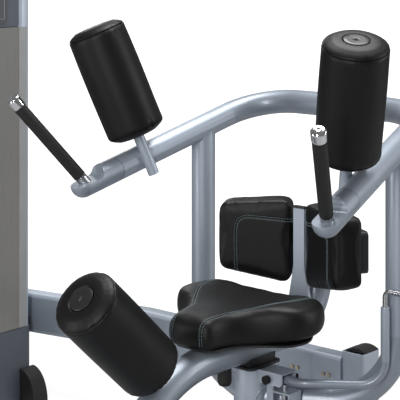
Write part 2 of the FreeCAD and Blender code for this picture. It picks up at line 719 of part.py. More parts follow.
def beam_bolts():
    """Small plated bolts, in pairs, that hold the beam on its inner sleeve."""
    bolts = []
    front, rear = BEAM_Y - BEAM_HALF_Y, BEAM_Y + BEAM_HALF_Y
    for x in beam_bolt_places():
        shank = rod((x, front - 2, BEAM_BOLT_Z), (0, 1, 0), BEAM_BOLT_R, rear - front + 4)
        head = rod((x, front - 4, BEAM_BOLT_Z), (0, 1, 0), 5.5, 4.0)
        nut = rod((x, rear, BEAM_BOLT_Z), (0, 1, 0), 6.5, 5.0)
        bolts.append(shank.fuse([head, nut]).removeSplitter())
    return group(bolts)


def rear_post_cap():
    """Black arched cap over the post."""
    radius, height = 60.0, 9.8
    low = POST_TOP_Z + 0.2
    middle = (POST_X0 + POST_X1) / 2
    arch = rod((middle, POST_Y0 + 18.0, low + height - radius), (0, 1, 0), radius, POST_Y1 - POST_Y0 - 18.0)
    return arch.common(box(POST_X0, POST_X1, POST_Y0, POST_Y1, low, low + height))


# ---------- tower ----------
def column(y0, y1):
    outer = round_edges(box(TOWER_BACK_X + 4, TOWER_FACE_X - 4, y0, y1, 10.0, TOWER_HEIGHT - 24.0),
                        20.0, (0, 0, 1))
    inner = round_edges(box(TOWER_BACK_X + 8, TOWER_FACE_X - 8, y0 + 4, y1 - 4, 0.0, TOWER_HEIGHT),
                        16.0, (0, 0, 1))
    return outer.cut(inner)


def rod_places():
    return (TOWER_MID_Y - ROD_SPACING / 2, TOWER_MID_Y + ROD_SPACING / 2)


def tower_frame():
    """Two flat columns, a bottom tray, and a bridge that carries the rods and the top pulley."""
    rear_inner = TOWER_REAR_Y - COLUMN_THICK
    front_inner = TOWER_FRONT_Y + COLUMN_THICK
    rear = column(rear_inner, TOWER_REAR_Y)
    front = column(TOWER_FRONT_Y, front_inner)
    tray = box(STACK_X - 70, STACK_X + 70, front_inner, rear_inner, 110.0, 200.0)
    bridge = box(STACK_X - 70, STACK_X + 70, front_inner, rear_inner, BRIDGE_LOW_Z, BRIDGE_TOP_Z)
    frame = rear.fuse([front, tray, bridge] + pulley_cheeks())
    for centre in (TOP_PULLEY, FOOT_PULLEY):
        frame = frame.cut(rod((STACK_X - 30, centre[1], centre[2]), (1, 0, 0), AXLE_R + 0.02, 60.0))
    for y in (TOWER_MID_Y, RISER_Y):
        frame = frame.cut(box(STACK_X - 9, STACK_X + 9, y - 10, y + 10, BRIDGE_LOW_Z - 1, BRIDGE_TOP_Z + 1))
    frame = frame.cut(box(TOWER_WINDOW[0], TOWER_WINDOW[1], 280, TOWER_REAR_Y + 1, 200.5, 245.0))
    frame = frame.cut(box(STACK_X - 14, STACK_X + 14, rear_inner - 1, TOWER_REAR_Y - 5, 205.0, 308.0))
    for y in rod_places():
        frame = frame.cut(rod((STACK_X, y, 120.0), (0, 0, 1), ROD_R, BRIDGE_TOP_Z - 110.0))
    return solid_of(frame.removeSplitter())


def pulley_cheeks():
    """Upright plates either side of the top pulley, on the bridge, and of the foot pulley."""
    cheeks = []
    top_y, foot_y = TOP_PULLEY[1], FOOT_PULLEY[1]
    for side in (-1, 1):
        x0, x1 = sorted((STACK_X + side * CHEEK_IN, STACK_X + side * CHEEK_OUT))
        cheeks.append(box(x0, x1, top_y - 22, top_y + 22, BRIDGE_TOP_Z - 1, TOP_PULLEY[2] + 22))
        cheeks.append(box(x0, x1, foot_y - 14, foot_y + 14, 199.0, FOOT_PULLEY[2] + 16))
    return cheeks


def tower_base_cover():
    """Open-topped skirt around the foot of the tower."""
    grow = 4.0
    outer = round_edges(box(TOWER_BACK_X, TOWER_FACE_X, TOWER_FRONT_Y - grow, TOWER_REAR_Y + grow,
                            0.0, COVER_TOP_Z), 24.0, (0, 0, 1))
    inner = round_edges(box(TOWER_BACK_X + 3.5, TOWER_FACE_X - 3.5, TOWER_FRONT_Y - 0.5,
                            TOWER_REAR_Y + 0.5, -1.0, COVER_TOP_Z + 1), 21.0, (0, 0, 1))
    notch = box(TOWER_WINDOW[0], TOWER_WINDOW[1], TOWER_REAR_Y - 5, TOWER_REAR_Y + 10, 200.5, 240.0)
    return solid_of(outer.cut(inner).cut(notch))


def tower_shroud(face_x, outward, slotted):
    """Side panel between the columns, gently bowed outwards."""
    y0, y1 = TOWER_FRONT_Y + COLUMN_THICK + 2.0, TOWER_REAR_Y - COLUMN_THICK - 2.0
    z0, z1 = COVER_TOP_Z + 2.0, SHROUD_TOP_Z - 2.0
    x0, x1 = sorted((face_x, face_x - outward * 5.0))
    panel = round_edges(box(x0, x1, y0, y1, z0, z1), 2.0, (0, 0, 1))
    if slotted:
        slot = box(face_x - 20, face_x + 20, TOWER_MID_Y - 34, TOWER_MID_Y + 34, 270.0, 690.0)
        panel = panel.cut(round_edges(slot, 24.0, (1, 0, 0)))
    return panel


def shroud_strip():
    """Pale trim strip between the seat-side shroud and the rear column."""
    y0 = TOWER_REAR_Y - COLUMN_THICK - 1.8
    strip = box(TOWER_FACE_X - 4.0, TOWER_FACE_X, y0, y0 + 31.0, COVER_TOP_Z + 2, SHROUD_TOP_Z - 2)
    return round_edges(strip, 1.5, (0, 0, 1))


def tower_head():
    """Head housing above the shrouds, closed on top."""
    outer = round_edges(box(TOWER_BACK_X, TOWER_FACE_X, TOWER_FRONT_Y - 4, TOWER_REAR_Y + 4,
                            TOWER_HEIGHT - 22.0, TOWER_HEIGHT), 24.0, (0, 0, 1))
    top_edges = [e for e in outer.Edges if e.BoundBox.ZMin > TOWER_HEIGHT - 1]
    outer = outer.makeFillet(6.0, top_edges)
    y0, y1 = TOWER_FRONT_Y + COLUMN_THICK + 2.0, TOWER_REAR_Y - COLUMN_THICK - 2.0
    panel = box(TOWER_FACE_X - 9.0, TOWER_FACE_X - 4.0, y0, y1, SHROUD_TOP_Z, TOWER_HEIGHT - 21.0)
    back = box(TOWER_BACK_X + 4.0, TOWER_BACK_X + 9.0, y0, y1, SHROUD_TOP_Z, TOWER_HEIGHT - 21.0)
    return outer.fuse([panel, back]).removeSplitter()


def placard():
    plate = box(TOWER_FACE_X - 3.9, TOWER_FACE_X - 1.0, TOWER_MID_Y - 142, TOWER_MID_Y + 142,
                1182.0, 1486.0)
    return round_edges(plate, 12.0, (1, 0, 0))


def boot(face_x, outward, y0):
    """Quarter of an ellipse, standing on the floor against a side of the tower."""
    centre = vec(face_x + outward * 0.2, y0, 0)
    toe = vec(face_x + outward * BOOT_REACH, y0, 0)
    heel = vec(face_x + outward * 0.2, y0, BOOT_HEIGHT)
    ellipse = Part.Ellipse(heel, toe, centre)
    turn = math.sqrt(0.5)
    middle = centre + (toe - centre) * turn + (heel - centre) * turn
    start, bend, end = [ellipse.parameter(p) for p in (heel, middle, toe)]
    low, high = sorted((start, end))
    if low < bend < high:
        curve = ellipse.toShape(low, high)
    else:
        curve = ellipse.toShape(high, low + 2 * math.pi)
    wire = Part.Wire(Part.__sortEdges__([curve, Part.makeLine(toe, centre), Part.makeLine(centre, heel)]))
    return Part.Face(wire).extrude(vec(0, BOOT_DEPTH, 0))


def tower_boots():
    boots = []
    for y0 in (TOWER_REAR_Y - COLUMN_THICK, TOWER_FRONT_Y - 6.0):
        boots.append(boot(TOWER_FACE_X, 1, y0))
        boots.append(boot(TOWER_BACK_X, -1, y0))
    return group(boots)


def guide_rods():
    length = BRIDGE_TOP_Z - 124.0
    return group([rod((STACK_X, y, 120.0), (0, 0, 1), ROD_R - 0.02, length) for y in rod_places()])


def stack_bumpers():
    height = STACK_LOW_Z - 200.4
    return group([ring((STACK_X, y, 200.2), (0, 0, 1), 24.0, ROD_R + 0.5, height) for y in rod_places()])


def weight_plate(z0):
    plate = box(STACK_X - PLATE_D / 2, STACK_X + PLATE_D / 2,
                TOWER_MID_Y - PLATE_W / 2, TOWER_MID_Y + PLATE_W / 2, z0, z0 + PLATE_H - 0.6)
    plate = round_edges(plate, 10.0, (0, 0, 1))
    for y in rod_places():
        plate = plate.cut(rod((STACK_X, y, z0 - 1), (0, 0, 1), ROD_R + 0.6, PLATE_H + 2))
    plate = plate.cut(rod((STACK_X, TOWER_MID_Y, z0 - 1), (0, 0, 1), 13.0, PLATE_H + 2))
    hole_z = z0 + PLATE_H / 2
    return plate.cut(rod((STACK_X, TOWER_MID_Y, hole_z), (1, 0, 0), 6.5, PLATE_D))


def plate_base(index):
    return STACK_LOW_Z + index * PLATE_H


def lift_stem():
    """Drilled bar that hangs from the cable and carries the chosen plates."""
    low = plate_base(LOWER_PLATES) + 0.5
    top = plate_base(LOWER_PLATES + LIFTED_PLATES) + 190.0
    stem = rod((STACK_X, TOWER_MID_Y, low), (0, 0, 1), 12.0, top - low)
    collar_z = plate_base(LOWER_PLATES + LIFTED_PLATES) + 0.1
    collar = rod((STACK_X, TOWER_MID_Y, collar_z), (0, 0, 1), 22.0, 14.0)
    bore = rod((STACK_X, TOWER_MID_Y, collar_z + 15.0), (0, 0, 1), CABLE_R + 1.0, 300.0)
    stem = stem.fuse(collar).removeSplitter().cut(bore)
    for index in range(LIFTED_PLATES):
        z = plate_base(LOWER_PLATES + index) + PLATE_H / 2
        stem = stem.cut(rod((STACK_X - 20, TOWER_MID_Y, z), (1, 0, 0), 6.0, 40.0))
    return stem


def selector_pin():
    z = plate_base(PIN_PLATE) + PLATE_H / 2
    start = STACK_X - 10.0
    shaft = rod((start, TOWER_MID_Y, z), (1, 0, 0), 5.5, TOWER_FACE_X - start + 18.0)
    knob = rod((TOWER_FACE_X + 8.0, TOWER_MID_Y, z), (1, 0, 0), 17.0, 34.0)
    return shaft.fuse(knob).removeSplitter()


# ---------- cable and pulleys ----------


def pulley(centre, axis, radius):
    axis = vec(*axis)
    low = vec(*centre) - axis * PULLEY_HALF
    wheel = Part.makeCylinder(radius + PULLEY_RIM, 2 * PULLEY_HALF, low, axis)
    groove = Part.makeTorus(radius + 0.4, CABLE_R + 0.4, vec(*centre), axis)
    mouth = Part.makeCylinder(radius + 6.0, 2 * CABLE_R + 0.8, vec(*centre) - axis * (CABLE_R + 0.4), axis)
    mouth = mouth.cut(Part.makeCylinder(radius + 0.4, 40.0, vec(*centre) - axis * 20.0, axis))
    bore = Part.makeCylinder(AXLE_R + RUNNING_CLEARANCE, 40.0, vec(*centre) - axis * 20.0, axis)
    return wheel.cut(groove).cut(mouth).cut(bore)


def pulley_axles():
    """Axle of each pulley with washers either side; each axle ends in the wall that holds it."""
    beam_floor = CABLE_Z - BEAM_LOW_Z - 1.2
    specs = ((REAR_PULLEY, (0, 0, 1), beam_floor, 14.0), (CORNER_PULLEY, (0, 0, 1), beam_floor, 14.0),
             (FOOT_PULLEY, (1, 0, 0), CHEEK_OUT, CHEEK_OUT), (TOP_PULLEY, (1, 0, 0), CHEEK_OUT, CHEEK_OUT))
    axles = []
    for centre, axis, below, above in specs:
        axis = vec(*axis)
        centre = vec(*centre)
        axle = Part.makeCylinder(AXLE_R, below + above, centre - axis * below, axis)
        for side in (1, -1):
            face = centre + axis * (side * (PULLEY_HALF + 0.3))
            axle = axle.fuse(Part.makeCylinder(11.0, 3.0, face, axis * side))
        axles.append(axle.removeSplitter())
    return group(axles)


def cable():
    """Runs of cable between the cam, the pulleys and the lift stem."""
    across = vec(-math.sin(CABLE_ANGLE), math.cos(CABLE_ANGLE), 0)
    rear_out = vec(*REAR_PULLEY) + across * (REAR_PULLEY_R + 0.8)
    corner_in = vec(*CORNER_PULLEY) + across * (PULLEY_R + 0.8)
    thin = CABLE_R - 0.4
    gap = 0.8
    rear_in = (REAR_PULLEY[0] + REAR_PULLEY_R + gap, REAR_PULLEY[1], CABLE_Z)
    corner_out = (CORNER_PULLEY[0] - PULLEY_R - gap, CORNER_PULLEY[1], CABLE_Z)
    foot_in = (STACK_X, FOOT_PULLEY[1], CABLE_Z - gap)
    foot_out = (STACK_X, RISER_Y - gap, FOOT_PULLEY[2])
    top_in = (STACK_X, RISER_Y + gap, TOP_PULLEY[2])
    stem_top = plate_base(LOWER_PLATES + LIFTED_PLATES) + 190.0
    runs = [rod_between((rear_in[0], 20.0, CABLE_Z), rear_in, thin),
            rod_between(tuple(rear_out), tuple(corner_in), thin),
            rod_between(corner_out, foot_in, thin),
            rod_between(foot_out, top_in, thin),
            rod_between((STACK_X, TOWER_MID_Y, stem_top - 12.0),
                        (STACK_X, TOWER_MID_Y, TOP_PULLEY[2]), thin)]
    return group(runs)


def arch_bumper(arch):
    """Round rubber stop that hangs below the seat tube, in front of the hub."""
    radius, y, low = 17.0, -109.0, 369.3
    body = rod((0, y, low + 11.0), (0, 0, 1), radius, 60.0)
    body = body.fuse(Part.makeSphere(radius, vec(0, y, low + 11.0)))
    return solid_of(body.common(box(-40, 40, y - 30, y + 30, low, 450.0)).cut(arch))


def thigh_low_seam():
    return vec(*THIGH_CENTRE) - unit(THIGH_AXIS) * (PAD_SEAM_LENGTH / 2.0)


def thigh_post(arch):
    axis = unit(THIGH_AXIS)
    start = thigh_low_seam() - axis * PAD_POST_BELOW
    bar = Part.makeCylinder(PAD_POST_R, post_length(), start, axis)
    return max(bar.cut(arch).Solids, key=lambda s: s.CenterOfMass.z)


# ---------- build ----------
def yoke_parts():
    """Yoke tubes, caps, grips, roller pads and their posts."""
    envelope = yoke_envelope()
    parts = {}
    parts["yoke_bar"] = yoke_bar()
    left = upright_left(envelope)
    parts["upright_left"] = left
    parts["upright_right"] = mirror_x(left)
    cap = end_cap()
    parts["arm_end_caps"] = both_sides(cap)
    parts["grip_stubs"] = both_sides(grip_stub(cap))
    parts["grip_sleeves"] = both_sides(grip_sleeve())
    parts["grip_end_caps"] = both_sides(grip_end_cap())
    parts["pad_posts"] = both_sides(pad_post(envelope))
    pad = roller(PAD_LOW, PAD_LEAN)
    parts["arm_pad_left"] = pad
    parts["arm_pad_right"] = mirror_x(pad)
    return parts


def hub_parts():
    """Hub, cam, clevis and indexing lever."""
    parts = {}
    parts["hub_sleeve"] = hub_sleeve()
    parts["hub_bearings"] = hub_bearings()
    parts["index_cam"] = index_cam()
    parts["clevis"] = solid_of(clevis(HUB_R).cut(left_outside()))
    parts["clevis_bolt"] = clevis_bolt()
    parts["lever_tube"] = lever_tube()
    parts["lever_rod"] = lever_rod()
    parts["lock_pin"] = lock_pin()
    return parts


def seat_parts(arch_solid):
    """Spindle, seat, back support and thigh roller."""
    parts = {}
    parts["spindle"] = spindle(arch_solid)
    parts["spindle_plate"] = spindle_plate(arch_solid)
    parts["seat_arch_tube"] = arch_tube()
    parts["seat_pan"] = seat_pan(arch_solid)
    parts["seat_cushion"] = seat_slab(1.0, SEAT_LOW_Z, SEAT_TOP_Z)
    parts["mast"] = mast(arch_solid)
    parts["mast_cap"] = box(-18.5, 18.5, MAST_Y0 - 1.5, MAST_Y1 + 1.5, MAST_TOP_Z + 0.1, MAST_TOP_Z + 6.0)
    shell = back_shell()
    shells = [shell, mirror_x(shell)]
    parts["back_bracket"] = back_bracket(shells)
    parts["back_shells"] = group(shells)
    parts["back_pad_left"] = back_pad()
    parts["back_pad_right"] = mirror_x(back_pad())
    parts["thigh_pad"] = roller(tuple(thigh_low_seam()), THIGH_AXIS)
    parts["thigh_post"] = thigh_post(arch_solid)
    parts["arch_bumper"] = arch_bumper(arch_solid)
    return parts


def base_parts():
    """Spine, feet, rear post and beam."""
    parts = {}
    parts["base_spine"] = base_spine()
    parts["front_foot"] = front_foot()
    parts["floor_pads"] = floor_pads()
    parts["rear_post"] = rear_post()
    parts["rear_post_cap"] = rear_post_cap()
    parts["link_beam"] = link_beam()
    parts["beam_splice"] = beam_splice()
    parts["beam_bolts"] = beam_bolts()
    return parts


def tower_parts():
    """Tower frame, covers, boots and placard."""
    parts = {}
    parts["tower_frame"] = tower_frame()
    parts["tower_base_cover"] = tower_base_cover()
    parts["tower_shroud"] = tower_shroud(TOWER_FACE_X, 1, True)
    parts["tower_back_shroud"] = tower_shroud(TOWER_BACK_X, -1, False)
    parts["shroud_strip"] = shroud_strip()
    parts["tower_head"] = tower_head()
    parts["placard"] = placard()
    parts["tower_boots"] = tower_boots()
    return parts


def stack_parts():
    """Weight stack, pulleys and cable."""
    parts = {}
    parts["guide_rods"] = guide_rods()
    parts["stack_bumpers"] = stack_bumpers()
    parts["weight_plates"] = group([weight_plate(plate_base(i)) for i in range(LOWER_PLATES)])
    lifted = range(LOWER_PLATES, LOWER_PLATES + LIFTED_PLATES)
    parts["lifted_plates"] = group([weight_plate(plate_base(i)) for i in lifted])
    parts["lift_stem"] = lift_stem()
    parts["selector_pin"] = selector_pin()
    parts["rear_pulley"] = pulley(REAR_PULLEY, (0, 0, 1), REAR_PULLEY_R)
    parts["corner_pulley"] = pulley(CORNER_PULLEY, (0, 0, 1), PULLEY_R)
    parts["foot_pulley"] = pulley(FOOT_PULLEY, (1, 0, 0), PULLEY_R)
    parts["top_pulley"] = pulley(TOP_PULLEY, (1, 0, 0), TOP_PULLEY_R)
    parts["pulley_axles"] = pulley_axles()
    parts["cable"] = cable()
    return parts


def build():
    arch_solid = seat_arch(ARCH_R)
    parts = {}
    for made in (yoke_parts(), hub_parts(), seat_parts(arch_solid),
                 base_parts(), tower_parts(), stack_parts()):
        parts.update(made)
    return parts


os.makedirs("parts", exist_ok=True)
for name, shape in build().items():
    shape.exportStep("parts/" + name + ".step")
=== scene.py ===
import json
import math

import bmesh
import bpy
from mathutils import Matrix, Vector, noise
from mathutils.bvhtree import BVHTree
from mathutils.kdtree import KDTree


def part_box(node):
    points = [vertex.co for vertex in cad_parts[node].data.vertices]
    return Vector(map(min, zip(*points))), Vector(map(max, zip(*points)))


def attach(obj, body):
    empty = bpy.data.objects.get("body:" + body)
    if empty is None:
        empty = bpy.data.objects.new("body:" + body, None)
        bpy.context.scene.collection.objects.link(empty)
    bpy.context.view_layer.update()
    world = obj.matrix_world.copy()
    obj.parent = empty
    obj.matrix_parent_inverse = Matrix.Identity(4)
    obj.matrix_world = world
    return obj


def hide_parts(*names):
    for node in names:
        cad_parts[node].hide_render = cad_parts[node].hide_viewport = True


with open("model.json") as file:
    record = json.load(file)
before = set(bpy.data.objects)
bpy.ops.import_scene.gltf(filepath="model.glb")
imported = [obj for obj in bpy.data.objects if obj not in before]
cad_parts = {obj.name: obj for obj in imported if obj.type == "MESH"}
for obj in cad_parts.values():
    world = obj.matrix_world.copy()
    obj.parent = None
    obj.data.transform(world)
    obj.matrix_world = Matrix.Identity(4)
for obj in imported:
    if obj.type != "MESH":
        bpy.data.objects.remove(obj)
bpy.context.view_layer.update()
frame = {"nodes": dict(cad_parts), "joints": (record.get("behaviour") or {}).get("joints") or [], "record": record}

# Rotary torso machine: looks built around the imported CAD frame. Metres.
JOINTS = {j["name"]: j for j in frame["joints"]}
NODES = frame["nodes"]

# ---------- camera of the reference view ----------
CAMERA_PLACE = Vector((2.0905, -2.6205, 1.3968))
CAMERA_HEADING = math.radians(40.8)      # turned left from +Y
CAMERA_LENS = 123.3
CAMERA_SHIFT = -0.6145
CAMERA_NEAR = 0.0005                     # how far the camera counts as standing at its place
CAMERA_CLIP = 100.0

# ---------- colours (linear) ----------
PAINT = (0.272, 0.311, 0.366)
PAINT_DARK = (0.040, 0.047, 0.062)
VINYL = (0.0032, 0.0032, 0.0033)
STITCH = (0.095, 0.140, 0.158)
WHITE = (1.0, 1.0, 1.0)

# ---------- studio ----------
FLOOR_SIZE = 30.0                        # half side
FLOOR_SHADES = (0.42, 0.42, 0.43), (0.46, 0.46, 0.46)
FLOOR_GLOW = 1.36
FLOOR_FADE = (1.4, 3.2, 0.66, 1.0)       # distance from, to; share of glow from, to
WORLD_LIGHT, WORLD_SEEN = 0.17, 1.10
# name, place, target, size, power, colour
LAMPS = (
    ("front_strip", (1.55, -3.75, 1.9), (0, 0, 0.75), (0.45, 2.6), 74, (1.0, 0.995, 0.985)),
    ("low_strip", (-1.7, -3.5, 0.9), (-0.2, 0, 0.8), (0.5, 1.6), 30, WHITE),
    ("rear_strip", (3.2, 2.4, 1.8), (0, 0, 0.8), (0.6, 2.6), 50, WHITE),
    ("top", (-0.1, 0.5, 3.5), (0, 0, 0.6), (2.2, 1.6), 100, WHITE),
    ("far_side", (-3.4, 2.2, 2.2), (-0.4, 0, 0.7), (1.4, 1.6), 16, WHITE),
)

# ---------- roller pads ----------
BEVEL = 0.0175                           # end ring of a pad, from its end to the seam
END_INSET = 0.0200                       # wall of the pad to the edge of its flat end
BORE = 0.0145                            # around the post
CROWN = 0.0012                           # swell of the wall between the seams
WALL_ROWS = 26
LIP = 0.0036                             # height of the rounded edge of the flat end
ROLLER_SIDES, DISC_SIDES = 120, 72
DISC = ((-0.004, 0.0), (-0.004, 0.0284), (0.0001, 0.0290), (0.0005, 0.0286), (0.0005, 0.0200),
        (0.0005, 0.0100), (0.0005, 0.0014), (-0.0012, 0.0010), (-0.0012, 0.0))
# piece, node, body, side of the cover's tuck
ROLLERS = (
    ("left_roller_cover", "arm_pad_left", "left_roller", (0.78, -0.57, 0)),
    ("right_roller_cover", "arm_pad_right", "right_roller", (0.93, -0.12, 0)),
    ("thigh_roller_cover", "thigh_pad", "thigh_roller", (0.75, -0.35, -0.55)),
)

# ---------- cushions ----------
VOXEL = 0.0045
PRESSURE = 4.0
SEAT_RELAX, BACK_RELAX = 5, 9            # smoothing rounds before the cloth step
SEAT_SWELL, BACK_SWELL = 0.0040, 0.0030  # furthest that the cloth step moves a point
SEAT_SETTLE, BACK_SETTLE = 5, 7          # smoothing rounds after it
CLOTH_FRAMES = 20
CLOTH_QUALITY = 6
CLOTH_MASS = 0.3
CLOTH_TENSION, CLOTH_SHEAR, CLOTH_BENDING = 30, 12, 3.0

# ---------- stitching ----------
THREAD_RADIUS = 0.0010
STITCH_LENGTH, STITCH_GAP = 0.0062, 0.0010
ROWS_APART = 0.0062
GROOVE_WIDTH, GROOVE_DEPTH = 0.0026, 0.0016
STITCH_SIDES, STITCH_RINGS = 6, 5
LOOK_AHEAD = 0.0006                      # step that gives a stitch its direction
SEAM_STEP = 0.0015

# ---------- seat ----------
SEAT_SIDES = 130                         # points along each half of the plan
SEAT_UNDER_ROWS, SEAT_TOP_ROWS = 8, 18
SPINE_FRONT, SPINE_REAR = 0.055, 0.075   # ends of the line that the top closes on
# inset from the plan, share of the height between underside and top
SEAT_SECTION = ((0.024, 0.0), (0.013, 0.025), (0.005, 0.11), (0.001, 0.25), (0.0, 0.42),
                (0.0008, 0.58), (0.003, 0.72), (0.007, 0.84), (0.013, 0.925), (0.021, 0.975),
                (0.032, 0.998))

# ---------- back pads ----------
# the sewn line: distance along the face, behind the face, above the lowest corner
PAD_SEAM = ((0.000, 0.030, 0.157), (0.000, 0.004, 0.157), (0.020, 0.0, 0.159), (0.060, 0.0, 0.162),
            (0.105, 0.0, 0.165), (0.124, 0.0, 0.1635), (0.136, 0.0, 0.156), (0.1425, 0.0, 0.143),
            (0.1440, 0.0, 0.122), (0.1440, 0.0, 0.077), (0.1432, 0.0, 0.037), (0.1425, 0.006, 0.025),
            (0.1420, 0.030, 0.023))
PAD_STRETCH = (1.0, 1.0, 1.02)
PAD_DROP = 0.0015                        # the soft pad hangs a little below its board

# ---------- trim ----------
CAP_DOME = 0.0075
CAP_FLAT = 0.0018                        # radius of the flat at the top of the dome
CAP_STEPS = 12
CAP_ROUNDNESS = 0.62
SLEEVE_END = 0.02
WELD_REACH, WELD_RADIUS = 0.20, 0.0024
WELD_SIDES = 56
TUBE_RADIUS = 0.0318
PLACARD_BORDER = 0.014
PLACARD_LINE = 0.0009


# =====================================================================
# materials
# =====================================================================
def new_material(name):
    material = bpy.data.materials.new(name)
    material.use_nodes = True
    tree = material.node_tree
    return material, tree, tree.nodes["Principled BSDF"]


def add(tree, kind, **settings):
    node = tree.nodes.new(kind)
    for key, value in settings.items():
        if key in node.inputs:
            node.inputs[key].default_value = value
        else:
            setattr(node, key, value)
    return node


def coordinates(tree, scale=(1, 1, 1)):
    coords = tree.nodes.new("ShaderNodeTexCoord")
    mapping = add(tree, "ShaderNodeMapping", Scale=scale)
    tree.links.new(coords.outputs["Object"], mapping.inputs["Vector"])
    return mapping.outputs["Vector"]


def noise_texture(tree, vector, scale, detail=4.0, roughness=0.5):
    node = add(tree, "ShaderNodeTexNoise", Scale=scale, Detail=detail, Roughness=roughness)
    tree.links.new(vector, node.inputs["Vector"])
    return node.outputs["Fac"]


def cell_texture(tree, vector, scale, feature="F1"):
    node = add(tree, "ShaderNodeTexVoronoi", Scale=scale)
    node.feature = feature
    tree.links.new(vector, node.inputs["Vector"])
    return node.outputs["Distance"]


def remap(tree, value, low, high, to_low, to_high):
    node = add(tree, "ShaderNodeMapRange")
    tree.links.new(value, node.inputs["Value"])
    numbers = {"From Min": low, "From Max": high, "To Min": to_low, "To Max": to_high}
    for key, number in numbers.items():
        node.inputs[key].default_value = number
    return node.outputs["Result"]


def blend_colour(tree, factor, first, second):
    ramp = tree.nodes.new("ShaderNodeValToRGB")
    ramp.color_ramp.elements[0].color = (*first, 1)
    ramp.color_ramp.elements[1].color = (*second, 1)
    tree.links.new(factor, ramp.inputs["Fac"])
    return ramp.outputs["Color"]


def bump(tree, height, strength, distance, previous=None):
    node = add(tree, "ShaderNodeBump", Strength=strength, Distance=distance)
    tree.links.new(height, node.inputs["Height"])
    if previous is not None:
        tree.links.new(previous, node.inputs["Normal"])
    return node.outputs["Normal"]


def edge_highlight(tree):
    """0 on flats, 1 on sharp convex edges; mask of the painted highlight on edges."""
    geometry = tree.nodes.new("ShaderNodeNewGeometry")
    return remap(tree, geometry.outputs["Pointiness"], 0.52, 0.60, 0.0, 1.0)


def shades(colour, spread):
    darker = tuple(c * (1 - spread) for c in colour)
    lighter = tuple(c * (1 + spread) for c in colour)
    return darker, lighter


def paint_material(name, colour, roughness=0.39, metallic=0.30):
    """Metallic powder coat: fine flake, orange-peel ripple, cloudy gloss and a painted highlight on sharp edges.
    """
    material, tree, shader = new_material(name)
    vector = coordinates(tree)
    flake = cell_texture(tree, vector, 1400.0)
    cloud = noise_texture(tree, vector, 9.0, 5.0)
    mixed = add(tree, "ShaderNodeMix", Factor=0.35)
    tree.links.new(cloud, mixed.inputs[2])
    tree.links.new(flake, mixed.inputs[3])
    base = blend_colour(tree, mixed.outputs[0], *shades(colour, 0.10))
    # painted highlight: sharp convex edges get a lighter copy of the coat colour, as if they caught the light
    edge = add(tree, "ShaderNodeMix", data_type="RGBA")
    edge.inputs[7].default_value = (*[min(1.0, c * 1.5 + 0.02) for c in colour], 1)
    tree.links.new(base, edge.inputs[6])
    tree.links.new(edge_highlight(tree), edge.inputs[0])
    tree.links.new(edge.outputs[2], shader.inputs["Base Color"])
    rough = remap(tree, cloud, 0.3, 0.7, roughness - 0.05, roughness + 0.06)
    tree.links.new(rough, shader.inputs["Roughness"])
    shader.inputs["Metallic"].default_value = metallic
    shader.inputs["Coat Weight"].default_value = 0.24
    shader.inputs["Coat Roughness"].default_value = 0.12
    ripple = noise_texture(tree, vector, 260.0, 2.0)
    normal = bump(tree, ripple, 0.06, 0.0006)
    normal = bump(tree, flake, 0.05, 0.0002, normal)
    tree.links.new(normal, shader.inputs["Normal"])
    return material


def vinyl_material(name, colour=VINYL):
    """Upholstery vinyl: pebbled grain, soft sheen, faint creases and a cloudy tone."""
    material, tree, shader = new_material(name)
    vector = coordinates(tree)
    cloud = noise_texture(tree, vector, 14.0, 5.0)
    base = blend_colour(tree, cloud, *shades(colour, 0.22))
    tree.links.new(base, shader.inputs["Base Color"])
    fine = noise_texture(tree, vector, 420.0, 3.0)
    rough = remap(tree, fine, 0.3, 0.7, 0.42, 0.53)
    tree.links.new(rough, shader.inputs["Roughness"])
    shader.inputs["Specular IOR Level"].default_value = 0.30
    grain = cell_texture(tree, vector, 780.0, "SMOOTH_F1")
    creases = noise_texture(tree, vector, 60.0, 6.0, 0.62)
    normal = bump(tree, grain, 0.22, 0.0005)
    normal = bump(tree, creases, 0.05, 0.0012, normal)
    tree.links.new(normal, shader.inputs["Normal"])
    return material


def thread_material(name, colour):
    """Bonded thread: diagonal twist along the run and a soft sheen."""
    material, tree, shader = new_material(name)
    vector = coordinates(tree)
    wave = add(tree, "ShaderNodeTexWave", Scale=420.0, Distortion=1.5)
    tree.links.new(vector, wave.inputs["Vector"])
    base = blend_colour(tree, wave.outputs["Fac"], *shades(colour, 0.35))
    tree.links.new(base, shader.inputs["Base Color"])
    shader.inputs["Roughness"].default_value = 0.6
    shader.inputs["Sheen Weight"].default_value = 0.3
    tree.links.new(bump(tree, wave.outputs["Fac"], 0.5, 0.0004), shader.inputs["Normal"])
    return material


def plastic_material(name, colour, roughness=0.42, grain=900.0, strength=0.14):
    """Moulded plastic: spark-eroded stipple with slight gloss changes."""
    material, tree, shader = new_material(name)
    vector = coordinates(tree)
    cloud = noise_texture(tree, vector, 20.0, 4.0)
    base = blend_colour(tree, cloud, *shades(colour, 0.12))
    tree.links.new(base, shader.inputs["Base Color"])
    rough = remap(tree, cloud, 0.3, 0.7, roughness - 0.06, roughness + 0.07)
    tree.links.new(rough, shader.inputs["Roughness"])
    stipple = noise_texture(tree, vector, grain, 2.0)
    tree.links.new(bump(tree, stipple, strength, 0.0004), shader.inputs["Normal"])
    return material


def rubber_material(name, colour, roughness=0.62):
    """Matt rubber: fine open-cell stipple and dusty scuffs."""
    material, tree, shader = new_material(name)
    vector = coordinates(tree)
    dust = noise_texture(tree, vector, 35.0, 6.0, 0.6)
    dusty = remap(tree, dust, 0.45, 0.75, 0.0, 1.0)
    base = blend_colour(tree, dusty, colour, tuple(c * 2.2 for c in colour))
    tree.links.new(base, shader.inputs["Base Color"])
    rough = remap(tree, dust, 0.3, 0.7, roughness - 0.08, roughness + 0.1)
    tree.links.new(rough, shader.inputs["Roughness"])
    cells = cell_texture(tree, vector, 1100.0)
    tree.links.new(bump(tree, cells, 0.35, 0.0005), shader.inputs["Normal"])
    return material


